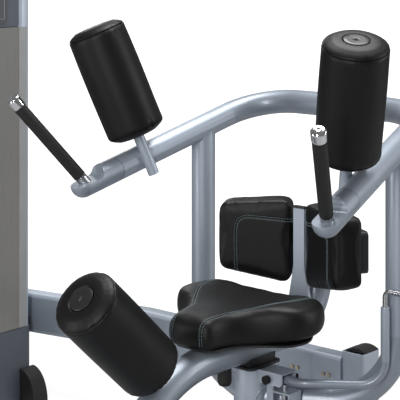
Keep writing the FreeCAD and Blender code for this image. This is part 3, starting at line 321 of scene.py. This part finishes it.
def metal_material(name, colour, roughness, brushed=(1, 1, 1), scratch=0.12):
    """Bare or plated metal: directional polish lines, smears and fine scratches."""
    material, tree, shader = new_material(name)
    vector = coordinates(tree, brushed)
    lines = noise_texture(tree, vector, 500.0, 3.0)
    smear = noise_texture(tree, coordinates(tree), 24.0, 5.0)
    base = blend_colour(tree, smear, *shades(colour, 0.07))
    tree.links.new(base, shader.inputs["Base Color"])
    shader.inputs["Metallic"].default_value = 1.0
    rough = remap(tree, smear, 0.3, 0.7, roughness * 0.75, roughness * 1.35)
    tree.links.new(rough, shader.inputs["Roughness"])
    tree.links.new(bump(tree, lines, scratch, 0.0003), shader.inputs["Normal"])
    return material


def panel_material(name, low, high, bottom_z, top_z, roughness=0.3):
    """Smoked moulded panel that lightens towards one end, with faint vertical drawing lines."""
    material, tree, shader = new_material(name)
    vector = coordinates(tree)
    split = tree.nodes.new("ShaderNodeSeparateXYZ")
    tree.links.new(vector, split.inputs[0])
    height = remap(tree, split.outputs["Z"], bottom_z, top_z, 0.0, 1.0)
    streaks = noise_texture(tree, coordinates(tree, (60, 60, 1.2)), 6.0, 5.0)
    mixed = add(tree, "ShaderNodeMix", Factor=0.22)
    tree.links.new(height, mixed.inputs[2])
    tree.links.new(streaks, mixed.inputs[3])
    tree.links.new(blend_colour(tree, mixed.outputs[0], low, high), shader.inputs["Base Color"])
    rough = remap(tree, streaks, 0.3, 0.7, roughness - 0.04, roughness + 0.08)
    tree.links.new(rough, shader.inputs["Roughness"])
    shader.inputs["Coat Weight"].default_value = 0.25
    stipple = noise_texture(tree, vector, 700.0, 2.0)
    tree.links.new(bump(tree, stipple, 0.08, 0.0004), shader.inputs["Normal"])
    return material


def cast_material(name, colour):
    """Enamelled casting: lumpy sand texture under thick paint."""
    material, tree, shader = new_material(name)
    vector = coordinates(tree)
    lumps = noise_texture(tree, vector, 190.0, 6.0, 0.6)
    cloud = noise_texture(tree, vector, 12.0, 4.0)
    tree.links.new(blend_colour(tree, cloud, *shades(colour, 0.2)), shader.inputs["Base Color"])
    tree.links.new(remap(tree, lumps, 0.3, 0.7, 0.38, 0.58), shader.inputs["Roughness"])
    shader.inputs["Metallic"].default_value = 0.3
    tree.links.new(bump(tree, lumps, 0.35, 0.0012), shader.inputs["Normal"])
    return material


def make_materials():
    shroud_low, shroud_top = [p.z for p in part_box("tower_shroud")]
    return {
        "frame_paint": paint_material("frame_paint", PAINT),
        "dark_paint": paint_material("dark_paint", PAINT_DARK, 0.42, 0.15),
        "bare_steel": metal_material("bare_steel", (0.55, 0.56, 0.58), 0.28, (1, 1, 12)),
        "chrome_trim": metal_material("chrome_trim", (0.80, 0.81, 0.83), 0.13, scratch=0.015),
        "grip_rubber": rubber_material("grip_rubber", (0.0055, 0.0055, 0.0055)),
        "vinyl": vinyl_material("vinyl"),
        "cast_black": cast_material("cast_black", (0.020, 0.021, 0.023)),
        "black_fastener": metal_material("black_fastener", (0.03, 0.03, 0.032), 0.35),
        "black_plastic": plastic_material("black_plastic", (0.016, 0.016, 0.017)),
        "disc_plastic": plastic_material("disc_plastic", (0.016, 0.016, 0.017), 0.34, 1200.0, 0.05),
        "brass_bolt": metal_material("brass_bolt", (0.46, 0.40, 0.30), 0.38),
        "shroud_panel": panel_material("shroud_panel", (0.185, 0.180, 0.168), (0.160, 0.159, 0.150),
                                       shroud_low, shroud_top),
        "trim_strip": plastic_material("trim_strip", (0.270, 0.275, 0.275), 0.45),
        "placard_plate": plastic_material("placard_plate", (0.055, 0.060, 0.070), 0.35),
        "plate_iron": cast_material("plate_iron", (0.022, 0.022, 0.024)),
        "pulley_nylon": plastic_material("pulley_nylon", (0.02, 0.02, 0.021), 0.38),
        "cable_jacket": plastic_material("cable_jacket", (0.014, 0.014, 0.014), 0.3),
        "stitching": thread_material("stitching", STITCH),
    }


def dress_cad_nodes(materials):
    slots = {s["node"]: s["material_slot"] for s in frame["record"]["subparts"]}
    for name, node in NODES.items():
        node.data.materials.clear()
        node.data.materials.append(materials[slots[name]])


# =====================================================================
# mesh helpers
# =====================================================================
def link(name, mesh, material):
    piece = bpy.data.objects.new(name, mesh)
    bpy.context.scene.collection.objects.link(piece)
    mesh.materials.append(material)
    return piece


def shade_smooth(mesh):
    for polygon in mesh.polygons:
        polygon.use_smooth = True


def basis_along(axis):
    """Two unit vectors square to an axis."""
    axis = axis.normalized()
    helper = Vector((0, 0, 1)) if abs(axis.z) < 0.9 else Vector((0, 1, 0))
    side = axis.cross(helper).normalized()
    return side, side.cross(axis).normalized()


def lathe(name, base, axis, profile, material, segments=96, offset=None):
    """Surface of revolution of (distance along, radius) points; a radius of 0 closes it."""
    axis = axis.normalized()
    u, v = basis_along(axis)
    mesh = bmesh.new()
    rows = []
    for t, radius in profile:
        if radius <= 1e-6:
            rows.append([mesh.verts.new(base + axis * t)])
            continue
        row = []
        for k in range(segments):
            angle = 2 * math.pi * k / segments
            out = u * math.cos(angle) + v * math.sin(angle)
            grow = offset(t, radius, angle) if offset else 0.0
            row.append(mesh.verts.new(base + axis * t + out * (radius + grow)))
        rows.append(row)
    for low, high in zip(rows, rows[1:]):
        for k in range(segments):
            n = (k + 1) % segments
            if len(low) == 1:
                mesh.faces.new((low[0], high[n], high[k]))
            elif len(high) == 1:
                mesh.faces.new((low[k], low[n], high[0]))
            else:
                mesh.faces.new((low[k], low[n], high[n], high[k]))
    bmesh.ops.recalc_face_normals(mesh, faces=mesh.faces[:])
    data = bpy.data.meshes.new(name)
    mesh.to_mesh(data)
    mesh.free()
    shade_smooth(data)
    return link(name, data, material)


def curve_tube(name, points, radius, material, cyclic=False, resolution=4):
    """Round cord through points, turned into a mesh so that it exports as a closed tube."""
    curve = bpy.data.curves.new(name, "CURVE")
    curve.dimensions = "3D"
    curve.bevel_depth = radius
    curve.bevel_resolution = resolution
    curve.use_fill_caps = True
    spline = curve.splines.new("POLY")
    spline.points.add(len(points) - 1)
    for target, point in zip(spline.points, points):
        target.co = (*point, 1)
    spline.use_cyclic_u = cyclic
    holder = bpy.data.objects.new(name + "_path", curve)
    bpy.context.scene.collection.objects.link(holder)
    bpy.context.view_layer.update()
    evaluated = holder.evaluated_get(bpy.context.evaluated_depsgraph_get())
    data = bpy.data.meshes.new_from_object(evaluated)
    bpy.data.objects.remove(holder)
    data.name = name
    data.materials.clear()
    shade_smooth(data)
    return link(name, data, material)


def smooth_step(t):
    t = max(0.0, min(1.0, t))
    return t * t * (3 - 2 * t)


# =====================================================================
# roller pads
# =====================================================================
def pad_extent(node, origin, axis):
    """Lowest and highest distance of a CAD node along an axis, and its radius."""
    along, radius = [], 0.0
    for vertex in NODES[node].data.vertices:
        offset = vertex.co - origin
        t = offset.dot(axis)
        along.append(t)
        radius = max(radius, (offset - axis * t).length)
    return min(along), max(along), radius


def roller_outline(length, radius):
    """From the lower bore, out over the lower bevel, up the wall, over the upper bevel."""
    flat = radius - END_INSET
    rows = [(0.012, BORE), (0.0006, BORE + 0.0006), (0.0, BORE + 0.006)]
    rows += [(0.0004, flat * 0.7), (0.0016, flat - 0.004), (LIP, flat)]
    for k in range(1, 7):
        t = k / 6.0
        out = min(1.0, t + 0.16 * math.sin(math.pi * t))
        rows.append((LIP + (BEVEL - 0.0052) * t, flat + (radius - 0.0024 - flat) * out))
    rows += [(BEVEL - 0.0010, radius - 0.0030), (BEVEL - 0.0004, radius - 0.0050)]
    rows += [(BEVEL + 0.0004, radius - 0.0050), (BEVEL + 0.0009, radius - 0.0020)]
    for k in range(WALL_ROWS + 1):
        t = k / WALL_ROWS
        z = BEVEL + 0.0016 + (length - 2 * BEVEL - 0.0032) * t
        rows.append((z, radius - 0.0012 + CROWN * math.sin(math.pi * t)))
    rows += [(length - z, r) for z, r in reversed(rows[3:16])]
    rows += [(length, 0.0328), (length - 0.0002, 0.0318), (length - 0.0022, 0.0310)]
    return rows + [(length - 0.0022, 0.0200), (length - 0.0022, 0.0)]


def roller_wrinkles(length, radius, tuck_angle):
    """Small puckers close to the two seams, and a tuck where the cover is joined."""
    flat = radius - END_INSET

    def wrinkle(t, r, angle):
        if r <= flat * 0.9:
            return 0.0
        near = min(abs(t - BEVEL), abs(t - (length - BEVEL)))
        turn = Vector((math.cos(angle), math.sin(angle), 0))
        pucker = noise.noise(turn * 9 + Vector((0, 0, t * 12))) * 0.0011 * math.exp(-near / 0.012)
        slow = noise.noise(turn * 1.6 + Vector((0, 0, t * 7 + 3))) * 0.0009
        delta = (angle - tuck_angle + math.pi) % (2 * math.pi) - math.pi
        tuck = -0.0042 * math.exp(-(delta * r / 0.0040) ** 2) * math.exp(-near / 0.006)
        return pucker + slow + (tuck if r > flat else 0.0)

    return wrinkle


def roller_pad(name, node, body, tuck_side, materials):
    joint = JOINTS[body + "_spin"]
    origin = Vector(joint["pos_m"])
    axis = Vector(joint["axis"]).normalized()
    low, high, radius = pad_extent(node, origin, axis)
    length = high - low
    base = origin + axis * low
    first, second = basis_along(axis)
    tuck_angle = math.atan2(Vector(tuck_side).dot(second), Vector(tuck_side).dot(first))
    wrinkle = roller_wrinkles(length, radius, tuck_angle)
    outline = roller_outline(length, radius)
    pad = lathe(name, base, axis, outline, materials["vinyl"], ROLLER_SIDES, wrinkle)
    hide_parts(node)
    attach(pad, body)
    disc = lathe(name + "_disc", base + axis * length, axis, DISC, materials["disc_plastic"],
                 DISC_SIDES)
    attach(disc, body)


# =====================================================================
# upholstered cushions
# =====================================================================
def applied(obj):
    """Bake an object's modifiers into its mesh."""
    bpy.context.view_layer.update()
    evaluated = obj.evaluated_get(bpy.context.evaluated_depsgraph_get())
    data = bpy.data.meshes.new_from_object(evaluated)
    old = obj.data
    obj.modifiers.clear()
    obj.data = data
    bpy.data.meshes.remove(old)
    shade_smooth(data)
    return obj


def copy_of_node(name, node, material):
    data = NODES[node].data.copy()
    data.materials.clear()
    return link(name, data, material)


def scale_about(obj, factors, centre):
    for vertex in obj.data.vertices:
        for k in range(3):
            vertex.co[k] = centre[k] + (vertex.co[k] - centre[k]) * factors[k]


def voxel_remesh(obj):
    modifier = obj.modifiers.new("remesh", "REMESH")
    modifier.mode = "VOXEL"
    modifier.voxel_size = VOXEL
    modifier.use_smooth_shade = True
    return applied(obj)


def relax(obj, rounds):
    modifier = obj.modifiers.new("relax", "SMOOTH")
    modifier.iterations = rounds
    modifier.factor = 0.5
    return applied(obj)


def inflate(obj, cap):
    """Cloth under pressure, with no gravity; no point may move further than cap."""
    scene = bpy.context.scene
    start = [v.co.copy() for v in obj.data.vertices]
    cloth = obj.modifiers.new("cloth", "CLOTH")
    settings = cloth.settings
    settings.quality = CLOTH_QUALITY
    settings.mass = CLOTH_MASS
    settings.tension_stiffness = CLOTH_TENSION
    settings.compression_stiffness = CLOTH_TENSION
    settings.shear_stiffness = CLOTH_SHEAR
    settings.bending_stiffness = CLOTH_BENDING
    settings.use_pressure = True
    settings.uniform_pressure_force = PRESSURE
    settings.effector_weights.gravity = 0
    cloth.point_cache.frame_start = 1
    cloth.point_cache.frame_end = CLOTH_FRAMES
    for number in range(1, CLOTH_FRAMES + 1):
        scene.frame_set(number)
    evaluated = obj.evaluated_get(bpy.context.evaluated_depsgraph_get())
    ends = [v.co.copy() for v in evaluated.data.vertices]
    obj.modifiers.clear()
    scene.frame_set(1)
    for vertex, before, after in zip(obj.data.vertices, start, ends):
        move = after - before
        if move.length > 1e-9:
            limited = cap * math.tanh(move.length / cap)
            move *= limited / move.length
        vertex.co = before + move
    obj.data.update()
    return obj


def subdivide(obj):
    modifier = obj.modifiers.new("subdivision", "SUBSURF")
    modifier.levels = 1
    modifier.render_levels = 1
    return applied(obj)


def surface_tree(obj):
    mesh = obj.data
    return BVHTree.FromPolygons([v.co for v in mesh.vertices], [p.vertices for p in mesh.polygons])


def settle_on(tree, points):
    """Nearest surface place and normal of each point."""
    hits = []
    for point in points:
        place, normal, _, _ = tree.find_nearest(point)
        hits.append((place, normal))
    return hits


def spline_through(points, steps=12):
    """Catmull-Rom points through a list of control points."""
    out = []
    padded = [points[0]] + list(points) + [points[-1]]
    for a, b, c, d in zip(padded, padded[1:], padded[2:], padded[3:]):
        for k in range(steps):
            t = k / steps
            out.append(0.5 * ((2 * b) + (c - a) * t + (2 * a - 5 * b + 4 * c - d) * t * t
                              + (3 * b - a - 3 * c + d) * t * t * t))
    out.append(points[-1])
    return out


def resample(points, spacing):
    """Evenly spaced points along a polyline."""
    out = [points[0]]
    left = spacing
    for a, b in zip(points, points[1:]):
        length = (b - a).length
        at = 0.0
        while length - at >= left:
            at += left
            out.append(a.lerp(b, at / length))
            left = spacing
        left -= length - at
    return out


def stitch_row(mesh, points, normals):
    """Add short raised thread segments along a run of surface points."""
    length, radius = STITCH_LENGTH, THREAD_RADIUS
    along = 0.0
    distances = [0.0]
    for a, b in zip(points, points[1:]):
        distances.append(distances[-1] + (b - a).length)
    index = 0

    def at(s):
        nonlocal index
        while index < len(distances) - 2 and distances[index + 1] < s:
            index += 1
        span = max(1e-9, distances[index + 1] - distances[index])
        t = min(1.0, max(0.0, (s - distances[index]) / span))
        return points[index].lerp(points[index + 1], t), normals[index]

    sides = STITCH_SIDES
    while along + length < distances[-1]:
        rings = []
        for k in range(STITCH_RINGS):
            t = k / (STITCH_RINGS - 1)
            place, normal = at(along + length * t)
            ahead, _ = at(min(distances[-1], along + length * t + LOOK_AHEAD))
            forward = ahead - place
            if forward.length < 1e-9:
                forward = normal.orthogonal()
            forward.normalize()
            side = forward.cross(normal).normalized()
            bow = math.sin(math.pi * t)
            thick = radius * (0.55 + 0.45 * bow)
            centre = place + normal * (radius * (0.15 + 0.55 * bow))
            turns = [2 * math.pi * j / sides for j in range(sides)]
            rings.append([mesh.verts.new(centre + side * math.cos(a) * thick
                                         + normal * math.sin(a) * thick) for a in turns])
        for low, high in zip(rings, rings[1:]):
            for j in range(sides):
                mesh.faces.new((low[j], low[(j + 1) % sides], high[(j + 1) % sides], high[j]))
        mesh.faces.new(rings[0])
        mesh.faces.new(rings[-1])
        index = max(0, index - 3)
        along += length + STITCH_GAP


def press_groove(obj, path):
    """Push a sewn line into the surface: nearby points sink along the surface normal."""
    tree = KDTree(len(path))
    for k, point in enumerate(path):
        tree.insert(point, k)
    tree.balance()
    for vertex in obj.data.vertices:
        _, _, distance = tree.find(vertex.co)
        if distance < GROOVE_WIDTH * 3:
            sink = GROOVE_DEPTH * math.exp(-(distance / GROOVE_WIDTH) ** 2)
            vertex.co -= vertex.normal * sink
    obj.data.update()


def offset_path(points, normals, amount):
    out = []
    for k, point in enumerate(points):
        ahead = points[min(k + 1, len(points) - 1)] - points[max(k - 1, 0)]
        side = ahead.normalized().cross(normals[k]).normalized()
        out.append(point + side * amount)
    return out


def averaged(values, reach):
    """Running mean of a list of vectors."""
    out = []
    for k in range(len(values)):
        near = values[max(0, k - reach):k + reach + 1]
        out.append(sum(near, Vector()) / len(near))
    return out


def seam_line(tree, path):
    """A path laid on a surface, evenly spaced and without kinks, and its normals."""
    points = resample(spline_through(path), 0.002)
    for _ in range(3):
        points = averaged([place for place, _ in settle_on(tree, points)], 3)
        points = resample(points, SEAM_STEP)
    hits = settle_on(tree, points)
    normals = [n.normalized() for n in averaged([h[1] for h in hits], 6)]
    return [h[0] for h in hits], normals


def double_stitch(name, cushion, paths, material):
    """Two rows of thread either side of a sewn seam that is pressed into the cushion."""
    tree = surface_tree(cushion)
    seams = [seam_line(tree, path) for path in paths]
    for points, _ in seams:
        press_groove(cushion, points)
    tree = surface_tree(cushion)
    mesh = bmesh.new()
    for points, normals in seams:
        for side in (-1, 1):
            row = offset_path(points, normals, side * ROWS_APART / 2)
            row = [place for place, _ in settle_on(tree, row)]
            stitch_row(mesh, averaged(row, 2), normals)
    data = bpy.data.meshes.new(name)
    bmesh.ops.recalc_face_normals(mesh, faces=mesh.faces[:])
    mesh.to_mesh(data)
    mesh.free()
    shade_smooth(data)
    piece = link(name, data, material)
    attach(piece, "root")


# ---------- seat ----------
def half_plan(node, count):
    """Evenly spaced points along the +X half of a cushion's plan, front to rear."""
    low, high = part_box(node)
    middle = (low.y + high.y) / 2
    ring = [v.co for v in NODES[node].data.vertices
            if v.co.z < low.z + 0.0005 and v.co.x > 0.001]
    ring.sort(key=lambda p: math.atan2(p.y - middle, p.x))
    line = [Vector((0, low.y, 0))]
    line += [Vector((p.x, p.y, 0)) for p in ring]
    line += [Vector((0, high.y, 0))]
    lengths = [0.0]
    for first, second in zip(line, line[1:]):
        lengths.append(lengths[-1] + (second - first).length)
    out = []
    index = 0
    for k in range(count + 1):
        want = lengths[-1] * k / count
        while index < len(line) - 2 and lengths[index + 1] < want:
            index += 1
        span = max(1e-9, lengths[index + 1] - lengths[index])
        out.append(line[index].lerp(line[index + 1], (want - lengths[index]) / span))
    for _ in range(6):
        inner = [(a + 2 * b + c) / 4 for a, b, c in zip(out, out[1:], out[2:])]
        out = [out[0]] + inner + [out[-1]]
    return out


def seat_top(x, y, top):
    """Saddle top: level nose, wings raised either side, lower at the rear edge."""
    wing = smooth_step((abs(x) - 0.035) / 0.095) * smooth_step((y + 0.185) / 0.130)
    rear = smooth_step((y - 0.030) / 0.095)
    nose = smooth_step((-0.190 - y) / 0.060)
    return top - 0.0135 + 0.0135 * wing * (1 - rear) - 0.006 * rear - 0.0035 * nose


def seat_underside(x, low):
    return low + 0.013 * smooth_step((abs(x) - 0.075) / 0.120)


def seat_mesh():
    low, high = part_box("seat_cushion")
    half = half_plan("seat_cushion", SEAT_SIDES)
    loop = half + [Vector((-p.x, p.y, 0)) for p in reversed(half[1:-1])]
    mesh = bmesh.new()

    def centre_of(point):
        return Vector((0, max(low.y + SPINE_FRONT, min(high.y - SPINE_REAR, point.y)), 0))

    def place(point, share_in, share_up):
        plan = point.lerp(centre_of(point), share_in)
        under, top = seat_underside(plan.x, low.z), seat_top(plan.x, plan.y, high.z)
        return mesh.verts.new((plan.x, plan.y, under + (top - under) * share_up))

    def share_of(point, inset):
        return min(0.98, inset / (centre_of(point) - point).length)

    rows = []
    first, last = SEAT_SECTION[0][0], SEAT_SECTION[-1][0]
    for k in range(SEAT_UNDER_ROWS):
        rows.append([place(p, 1 - (1 - share_of(p, first)) * k / SEAT_UNDER_ROWS, 0.0)
                     for p in loop])
    for inset, height in SEAT_SECTION:
        rows.append([place(p, share_of(p, inset), height) for p in loop])
    for k in range(1, SEAT_TOP_ROWS + 1):
        rows.append([place(p, share_of(p, last) + (1 - share_of(p, last)) * k / SEAT_TOP_ROWS, 1.0)
                     for p in loop])
    for lower, upper in zip(rows, rows[1:]):
        for k in range(len(loop)):
            n = (k + 1) % len(loop)
            mesh.faces.new((lower[k], lower[n], upper[n], upper[k]))
    bmesh.ops.remove_doubles(mesh, verts=mesh.verts[:], dist=0.0003)
    bmesh.ops.recalc_face_normals(mesh, faces=mesh.faces[:])
    data = bpy.data.meshes.new("seat_cushion_cover")
    mesh.to_mesh(data)
    mesh.free()
    return data


def seat_cushion(materials):
    low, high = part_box("seat_cushion")
    cushion = link("seat_cushion_cover", seat_mesh(), materials["vinyl"])
    voxel_remesh(cushion)
    relax(cushion, SEAT_RELAX)
    inflate(cushion, SEAT_SWELL)
    relax(cushion, SEAT_SETTLE)
    for vertex in cushion.data.vertices:
        vertex.co.z = max(vertex.co.z, low.z)
    subdivide(cushion)
    stations = [(0.045, low.y + 0.012, low.z + 0.004), (0.046, low.y + 0.004, low.z + 0.016),
                (0.046, low.y, low.z + 0.044),
                (0.046, low.y + 0.003, high.z - 0.022), (0.047, low.y + 0.016, high.z - 0.016),
                (0.051, -0.200, high.z - 0.014), (0.058, -0.165, high.z - 0.011),
                (0.067, -0.145, high.z - 0.009), (0.085, -0.118, high.z - 0.006),
                (0.110, -0.080, high.z - 0.002), (0.132, -0.038, high.z), (0.143, 0.004, high.z - 0.001),
                (0.146, 0.040, high.z - 0.004), (0.141, 0.072, high.z - 0.012),
                (0.134, 0.094, high.z - 0.022), (0.130, 0.100, high.z - 0.040)]
    paths = [[Vector((x * side, y, z)) for x, y, z in stations] for side in (-1, 1)]
    double_stitch("seat_stitching", cushion, paths, materials["stitching"])
    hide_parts("seat_cushion")
    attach(cushion, "root")


# ---------- back pads ----------
def pad_face(node):
    """Inner front corner of a back pad, and unit vectors along and behind its face."""
    points = [v.co for v in NODES[node].data.vertices]
    side = 1 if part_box(node)[0].x > 0 else -1
    inner = min(points, key=lambda p: p.x * side)
    outer = min(points, key=lambda p: p.y)
    along = Vector((outer.x - inner.x, outer.y - inner.y, 0)).normalized()
    behind = Vector((-along.y * side, along.x * side, 0))
    return Vector((inner.x, inner.y, 0)), along, behind


def back_cushion(node, materials):
    low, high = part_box(node)
    cushion = copy_of_node(node + "_cover", node, materials["vinyl"])
    scale_about(cushion, PAD_STRETCH, (low + high) / 2)
    for vertex in cushion.data.vertices:
        vertex.co.z -= PAD_DROP
    voxel_remesh(cushion)
    relax(cushion, BACK_RELAX)
    inflate(cushion, BACK_SWELL)
    relax(cushion, BACK_SETTLE)
    subdivide(cushion)
    corner, along, behind = pad_face(node)
    path = [corner + along * a + behind * b + Vector((0, 0, low.z + z - PAD_DROP))
            for a, b, z in PAD_SEAM]
    double_stitch(node + "_stitching", cushion, [path], materials["stitching"])
    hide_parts(node)
    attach(cushion, "root")


# =====================================================================
# trim
# =====================================================================
def grip_tips(materials):
    """Domed plated caps with a small centre mark, in place of the plain end caps."""
    points = [v.co for v in NODES["grip_end_caps"].data.vertices]
    sleeve = [v.co for v in NODES["grip_sleeves"].data.vertices]
    for side in (-1, 1):
        cap = [p for p in points if p.x * side > 0]
        bar = [p for p in sleeve if p.x * side > 0]
        axis = grip_axis(bar)
        start = Vector(sum(bar, Vector()) / len(bar))
        reach = [(p - start).dot(axis) for p in cap]
        radius = max(((p - start) - axis * (p - start).dot(axis)).length for p in cap)
        base = start + axis * min(reach)
        length = max(reach) - min(reach)
        shoulder = length - CAP_DOME
        profile = [(0.0, 0.0), (0.0, radius - 0.0012), (0.0004, radius - 0.0003), (0.0016, radius)]
        profile += [(shoulder, radius)]
        for k in range(1, CAP_STEPS + 1):
            turn = math.pi / 2 * k / CAP_STEPS
            out = CAP_FLAT + (radius - CAP_FLAT) * math.cos(turn) ** CAP_ROUNDNESS
            profile.append((shoulder + CAP_DOME * math.sin(turn), out))
        profile += [(length - 0.0004, 0.0012), (length - 0.0005, 0.0)]
        name = "grip_tip_left" if side > 0 else "grip_tip_right"
        tip = lathe(name, base, axis, profile, materials["chrome_trim"], 64)
        if side > 0:
            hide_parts("grip_end_caps")
        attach(tip, "yoke")


def grip_axis(points):
    """Axis of a straight sleeve from its lowest to its highest end."""
    lowest, highest = min(p.z for p in points), max(p.z for p in points)
    foot = [p for p in points if p.z < lowest + SLEEVE_END]
    head = [p for p in points if p.z > highest - SLEEVE_END]
    return (sum(head, Vector()) / len(head) - sum(foot, Vector()) / len(foot)).normalized()


def weld_bead(name, start, axis, radius, target, body, materials):
    """Bead where a round tube meets another piece: the tube's outline dropped on that piece."""
    tree = surface_tree(NODES[target])
    first, second = basis_along(axis)
    points = []
    for k in range(WELD_SIDES):
        angle = 2 * math.pi * k / WELD_SIDES
        origin = start + (first * math.cos(angle) + second * math.sin(angle)) * radius
        place = tree.ray_cast(origin, axis, WELD_REACH)[0]
        if place is not None:
            points.append(place)
    bead = curve_tube(name, points, WELD_RADIUS, materials["frame_paint"], True, 3)
    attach(bead, body)


def weld_beads(materials):
    for side, hand in ((1, "left"), (-1, "right")):
        upper, lower = Vector((0.308 * side, 0.172, 0.80)), Vector((0.120 * side, 0, 0.319))
        weld_bead("weld_upper_" + hand, upper, Vector((0, 0, 1)), TUBE_RADIUS - 0.0015,
                  "yoke_bar", "yoke", materials)
        weld_bead("weld_lower_" + hand, lower, Vector((-side, 0, 0)), TUBE_RADIUS,
                  "hub_sleeve", "yoke", materials)


def placard_lines(materials):
    """A plain pictogram on the placard: a border, a seated figure and two turn arrows."""
    low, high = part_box("placard")
    face = high.x + 0.0002
    middle_y, middle_z = (low.y + high.y) / 2, (low.z + high.z) / 2

    def about_middle(*points):
        return [(middle_y + y, middle_z + z) for y, z in points]

    def arc(y, z, radius, start, end, count=18):
        steps = [math.radians(start + (end - start) * k / count) for k in range(count + 1)]
        return about_middle(*[(y + radius * math.cos(t), z + radius * math.sin(t)) for t in steps])

    y0, y1 = low.y + PLACARD_BORDER, high.y - PLACARD_BORDER
    z0, z1 = low.z + PLACARD_BORDER, high.z - PLACARD_BORDER
    strokes = [([(y0, z0), (y1, z0), (y1, z1), (y0, z1)], True)]
    strokes.append((arc(0, 0.070, 0.019, 0, 340), True))
    strokes.append((about_middle((0, 0.049), (0, -0.030), (-0.045, -0.034), (-0.050, -0.085)), False))
    strokes.append((about_middle((-0.052, 0.020), (-0.020, 0.036), (0.020, 0.036), (0.052, 0.020)),
                    False))
    for side in (-1, 1):
        bow = arc(0, -0.010, 0.090, 90 - side * 38, 90 - side * 78)
        y, z = bow[-1]
        strokes.append((bow, False))
        strokes.append(([(y - side * 0.012, z + 0.009), (y, z), (y + side * 0.008, z + 0.014)], False))
    for k, (stroke, closed) in enumerate(strokes):
        line = curve_tube(f"placard_line_{k}", [Vector((face, y, z)) for y, z in stroke],
                          PLACARD_LINE, materials["trim_strip"], closed, 2)
        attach(line, "root")


# =====================================================================
# stage, light and camera
# =====================================================================
def seen_by_camera(tree):
    return tree.nodes.new("ShaderNodeLightPath").outputs["Is Camera Ray"]


def stage():
    """Plain pale floor: nearly white to the camera, duller as a bounce source."""
    data = bpy.data.meshes.new("floor")
    corners = [(FLOOR_SIZE * x, FLOOR_SIZE * y, 0) for x, y in ((-1, -1), (1, -1), (1, 1), (-1, 1))]
    data.from_pydata(corners, [], [(0, 1, 2, 3)])
    material, tree, shader = new_material("floor")
    speckle = noise_texture(tree, coordinates(tree), 40.0, 3.0)
    tree.links.new(blend_colour(tree, speckle, *FLOOR_SHADES), shader.inputs["Base Color"])
    shader.inputs["Roughness"].default_value = 0.8
    shader.inputs["Specular IOR Level"].default_value = 0.1
    glow = add(tree, "ShaderNodeEmission", Color=(*WHITE, 1), Strength=FLOOR_GLOW)
    mixed = tree.nodes.new("ShaderNodeMixShader")
    distance = add(tree, "ShaderNodeVectorMath", operation="LENGTH")
    tree.links.new(coordinates(tree), distance.inputs[0])
    spread = remap(tree, distance.outputs["Value"], *FLOOR_FADE)
    share = add(tree, "ShaderNodeMath", operation="MULTIPLY")
    tree.links.new(spread, share.inputs[0])
    tree.links.new(seen_by_camera(tree), share.inputs[1])
    tree.links.new(share.outputs[0], mixed.inputs["Fac"])
    tree.links.new(shader.outputs["BSDF"], mixed.inputs[1])
    tree.links.new(glow.outputs["Emission"], mixed.inputs[2])
    tree.links.new(mixed.outputs["Shader"], tree.nodes["Material Output"].inputs["Surface"])
    floor = link("floor", data, material)


def area_light(name, place, target, size, power, colour):
    data = bpy.data.lights.new(name, "AREA")
    data.shape = "RECTANGLE"
    data.size, data.size_y = size
    data.energy = power
    data.color = colour
    lamp = bpy.data.objects.new(name, data)
    lamp.location = place
    lamp.rotation_mode = "QUATERNION"
    lamp.rotation_quaternion = (Vector(target) - Vector(place)).to_track_quat("-Z", "Y")
    bpy.context.scene.collection.objects.link(lamp)


def lights():
    world = bpy.data.worlds.new("studio")
    world.use_nodes = True
    tree = world.node_tree
    background = tree.nodes["Background"]
    background.inputs["Color"].default_value = (*WHITE, 1)
    strength = remap(tree, seen_by_camera(tree), 0, 1, WORLD_LIGHT, WORLD_SEEN)
    tree.links.new(strength, background.inputs["Strength"])
    bpy.context.scene.world = world
    for lamp in LAMPS:
        area_light(*lamp)


def camera():
    data = bpy.data.cameras.new("camera")
    data.sensor_width = 36.0
    data.lens = CAMERA_LENS
    data.clip_end = CAMERA_CLIP
    eye = bpy.data.objects.new("camera", data)
    eye.location = CAMERA_PLACE
    eye.rotation_mode = "QUATERNION"
    heading = Vector((-math.sin(CAMERA_HEADING), math.cos(CAMERA_HEADING), 0))
    eye.rotation_quaternion = heading.to_track_quat("-Z", "Y")
    bpy.context.scene.collection.objects.link(eye)
    bpy.context.scene.camera = eye
    shift_only_here(eye)


def shift_only_here(eye):
    """The view is shifted down only while the camera stands at its own place, so that a camera
    moved elsewhere frames the whole machine. The curve gives the shift for each camera x."""
    curve = eye.data.driver_add("shift_y")
    for modifier in list(curve.modifiers):
        curve.modifiers.remove(modifier)
    curve.driver.type = "SUM"
    variable = curve.driver.variables.new()
    variable.type = "TRANSFORMS"
    variable.targets[0].id = eye
    variable.targets[0].transform_type = "LOC_X"
    variable.targets[0].transform_space = "WORLD_SPACE"
    x = CAMERA_PLACE.x
    steps = ((x - 1.0, 0.0), (x - CAMERA_NEAR, CAMERA_SHIFT), (x + CAMERA_NEAR, 0.0))
    curve.keyframe_points.add(len(steps))
    for point, step in zip(curve.keyframe_points, steps):
        point.co = step
        point.interpolation = "CONSTANT"


# =====================================================================
# build
# =====================================================================
materials = make_materials()
dress_cad_nodes(materials)
for roller in ROLLERS:
    roller_pad(*roller, materials)
seat_cushion(materials)
for pad_node in ("back_pad_left", "back_pad_right"):
    back_cushion(pad_node, materials)
grip_tips(materials)
placard_lines(materials)
weld_beads(materials)
stage()
lights()
camera()
bpy.context.scene.view_settings.view_transform = "Standard"
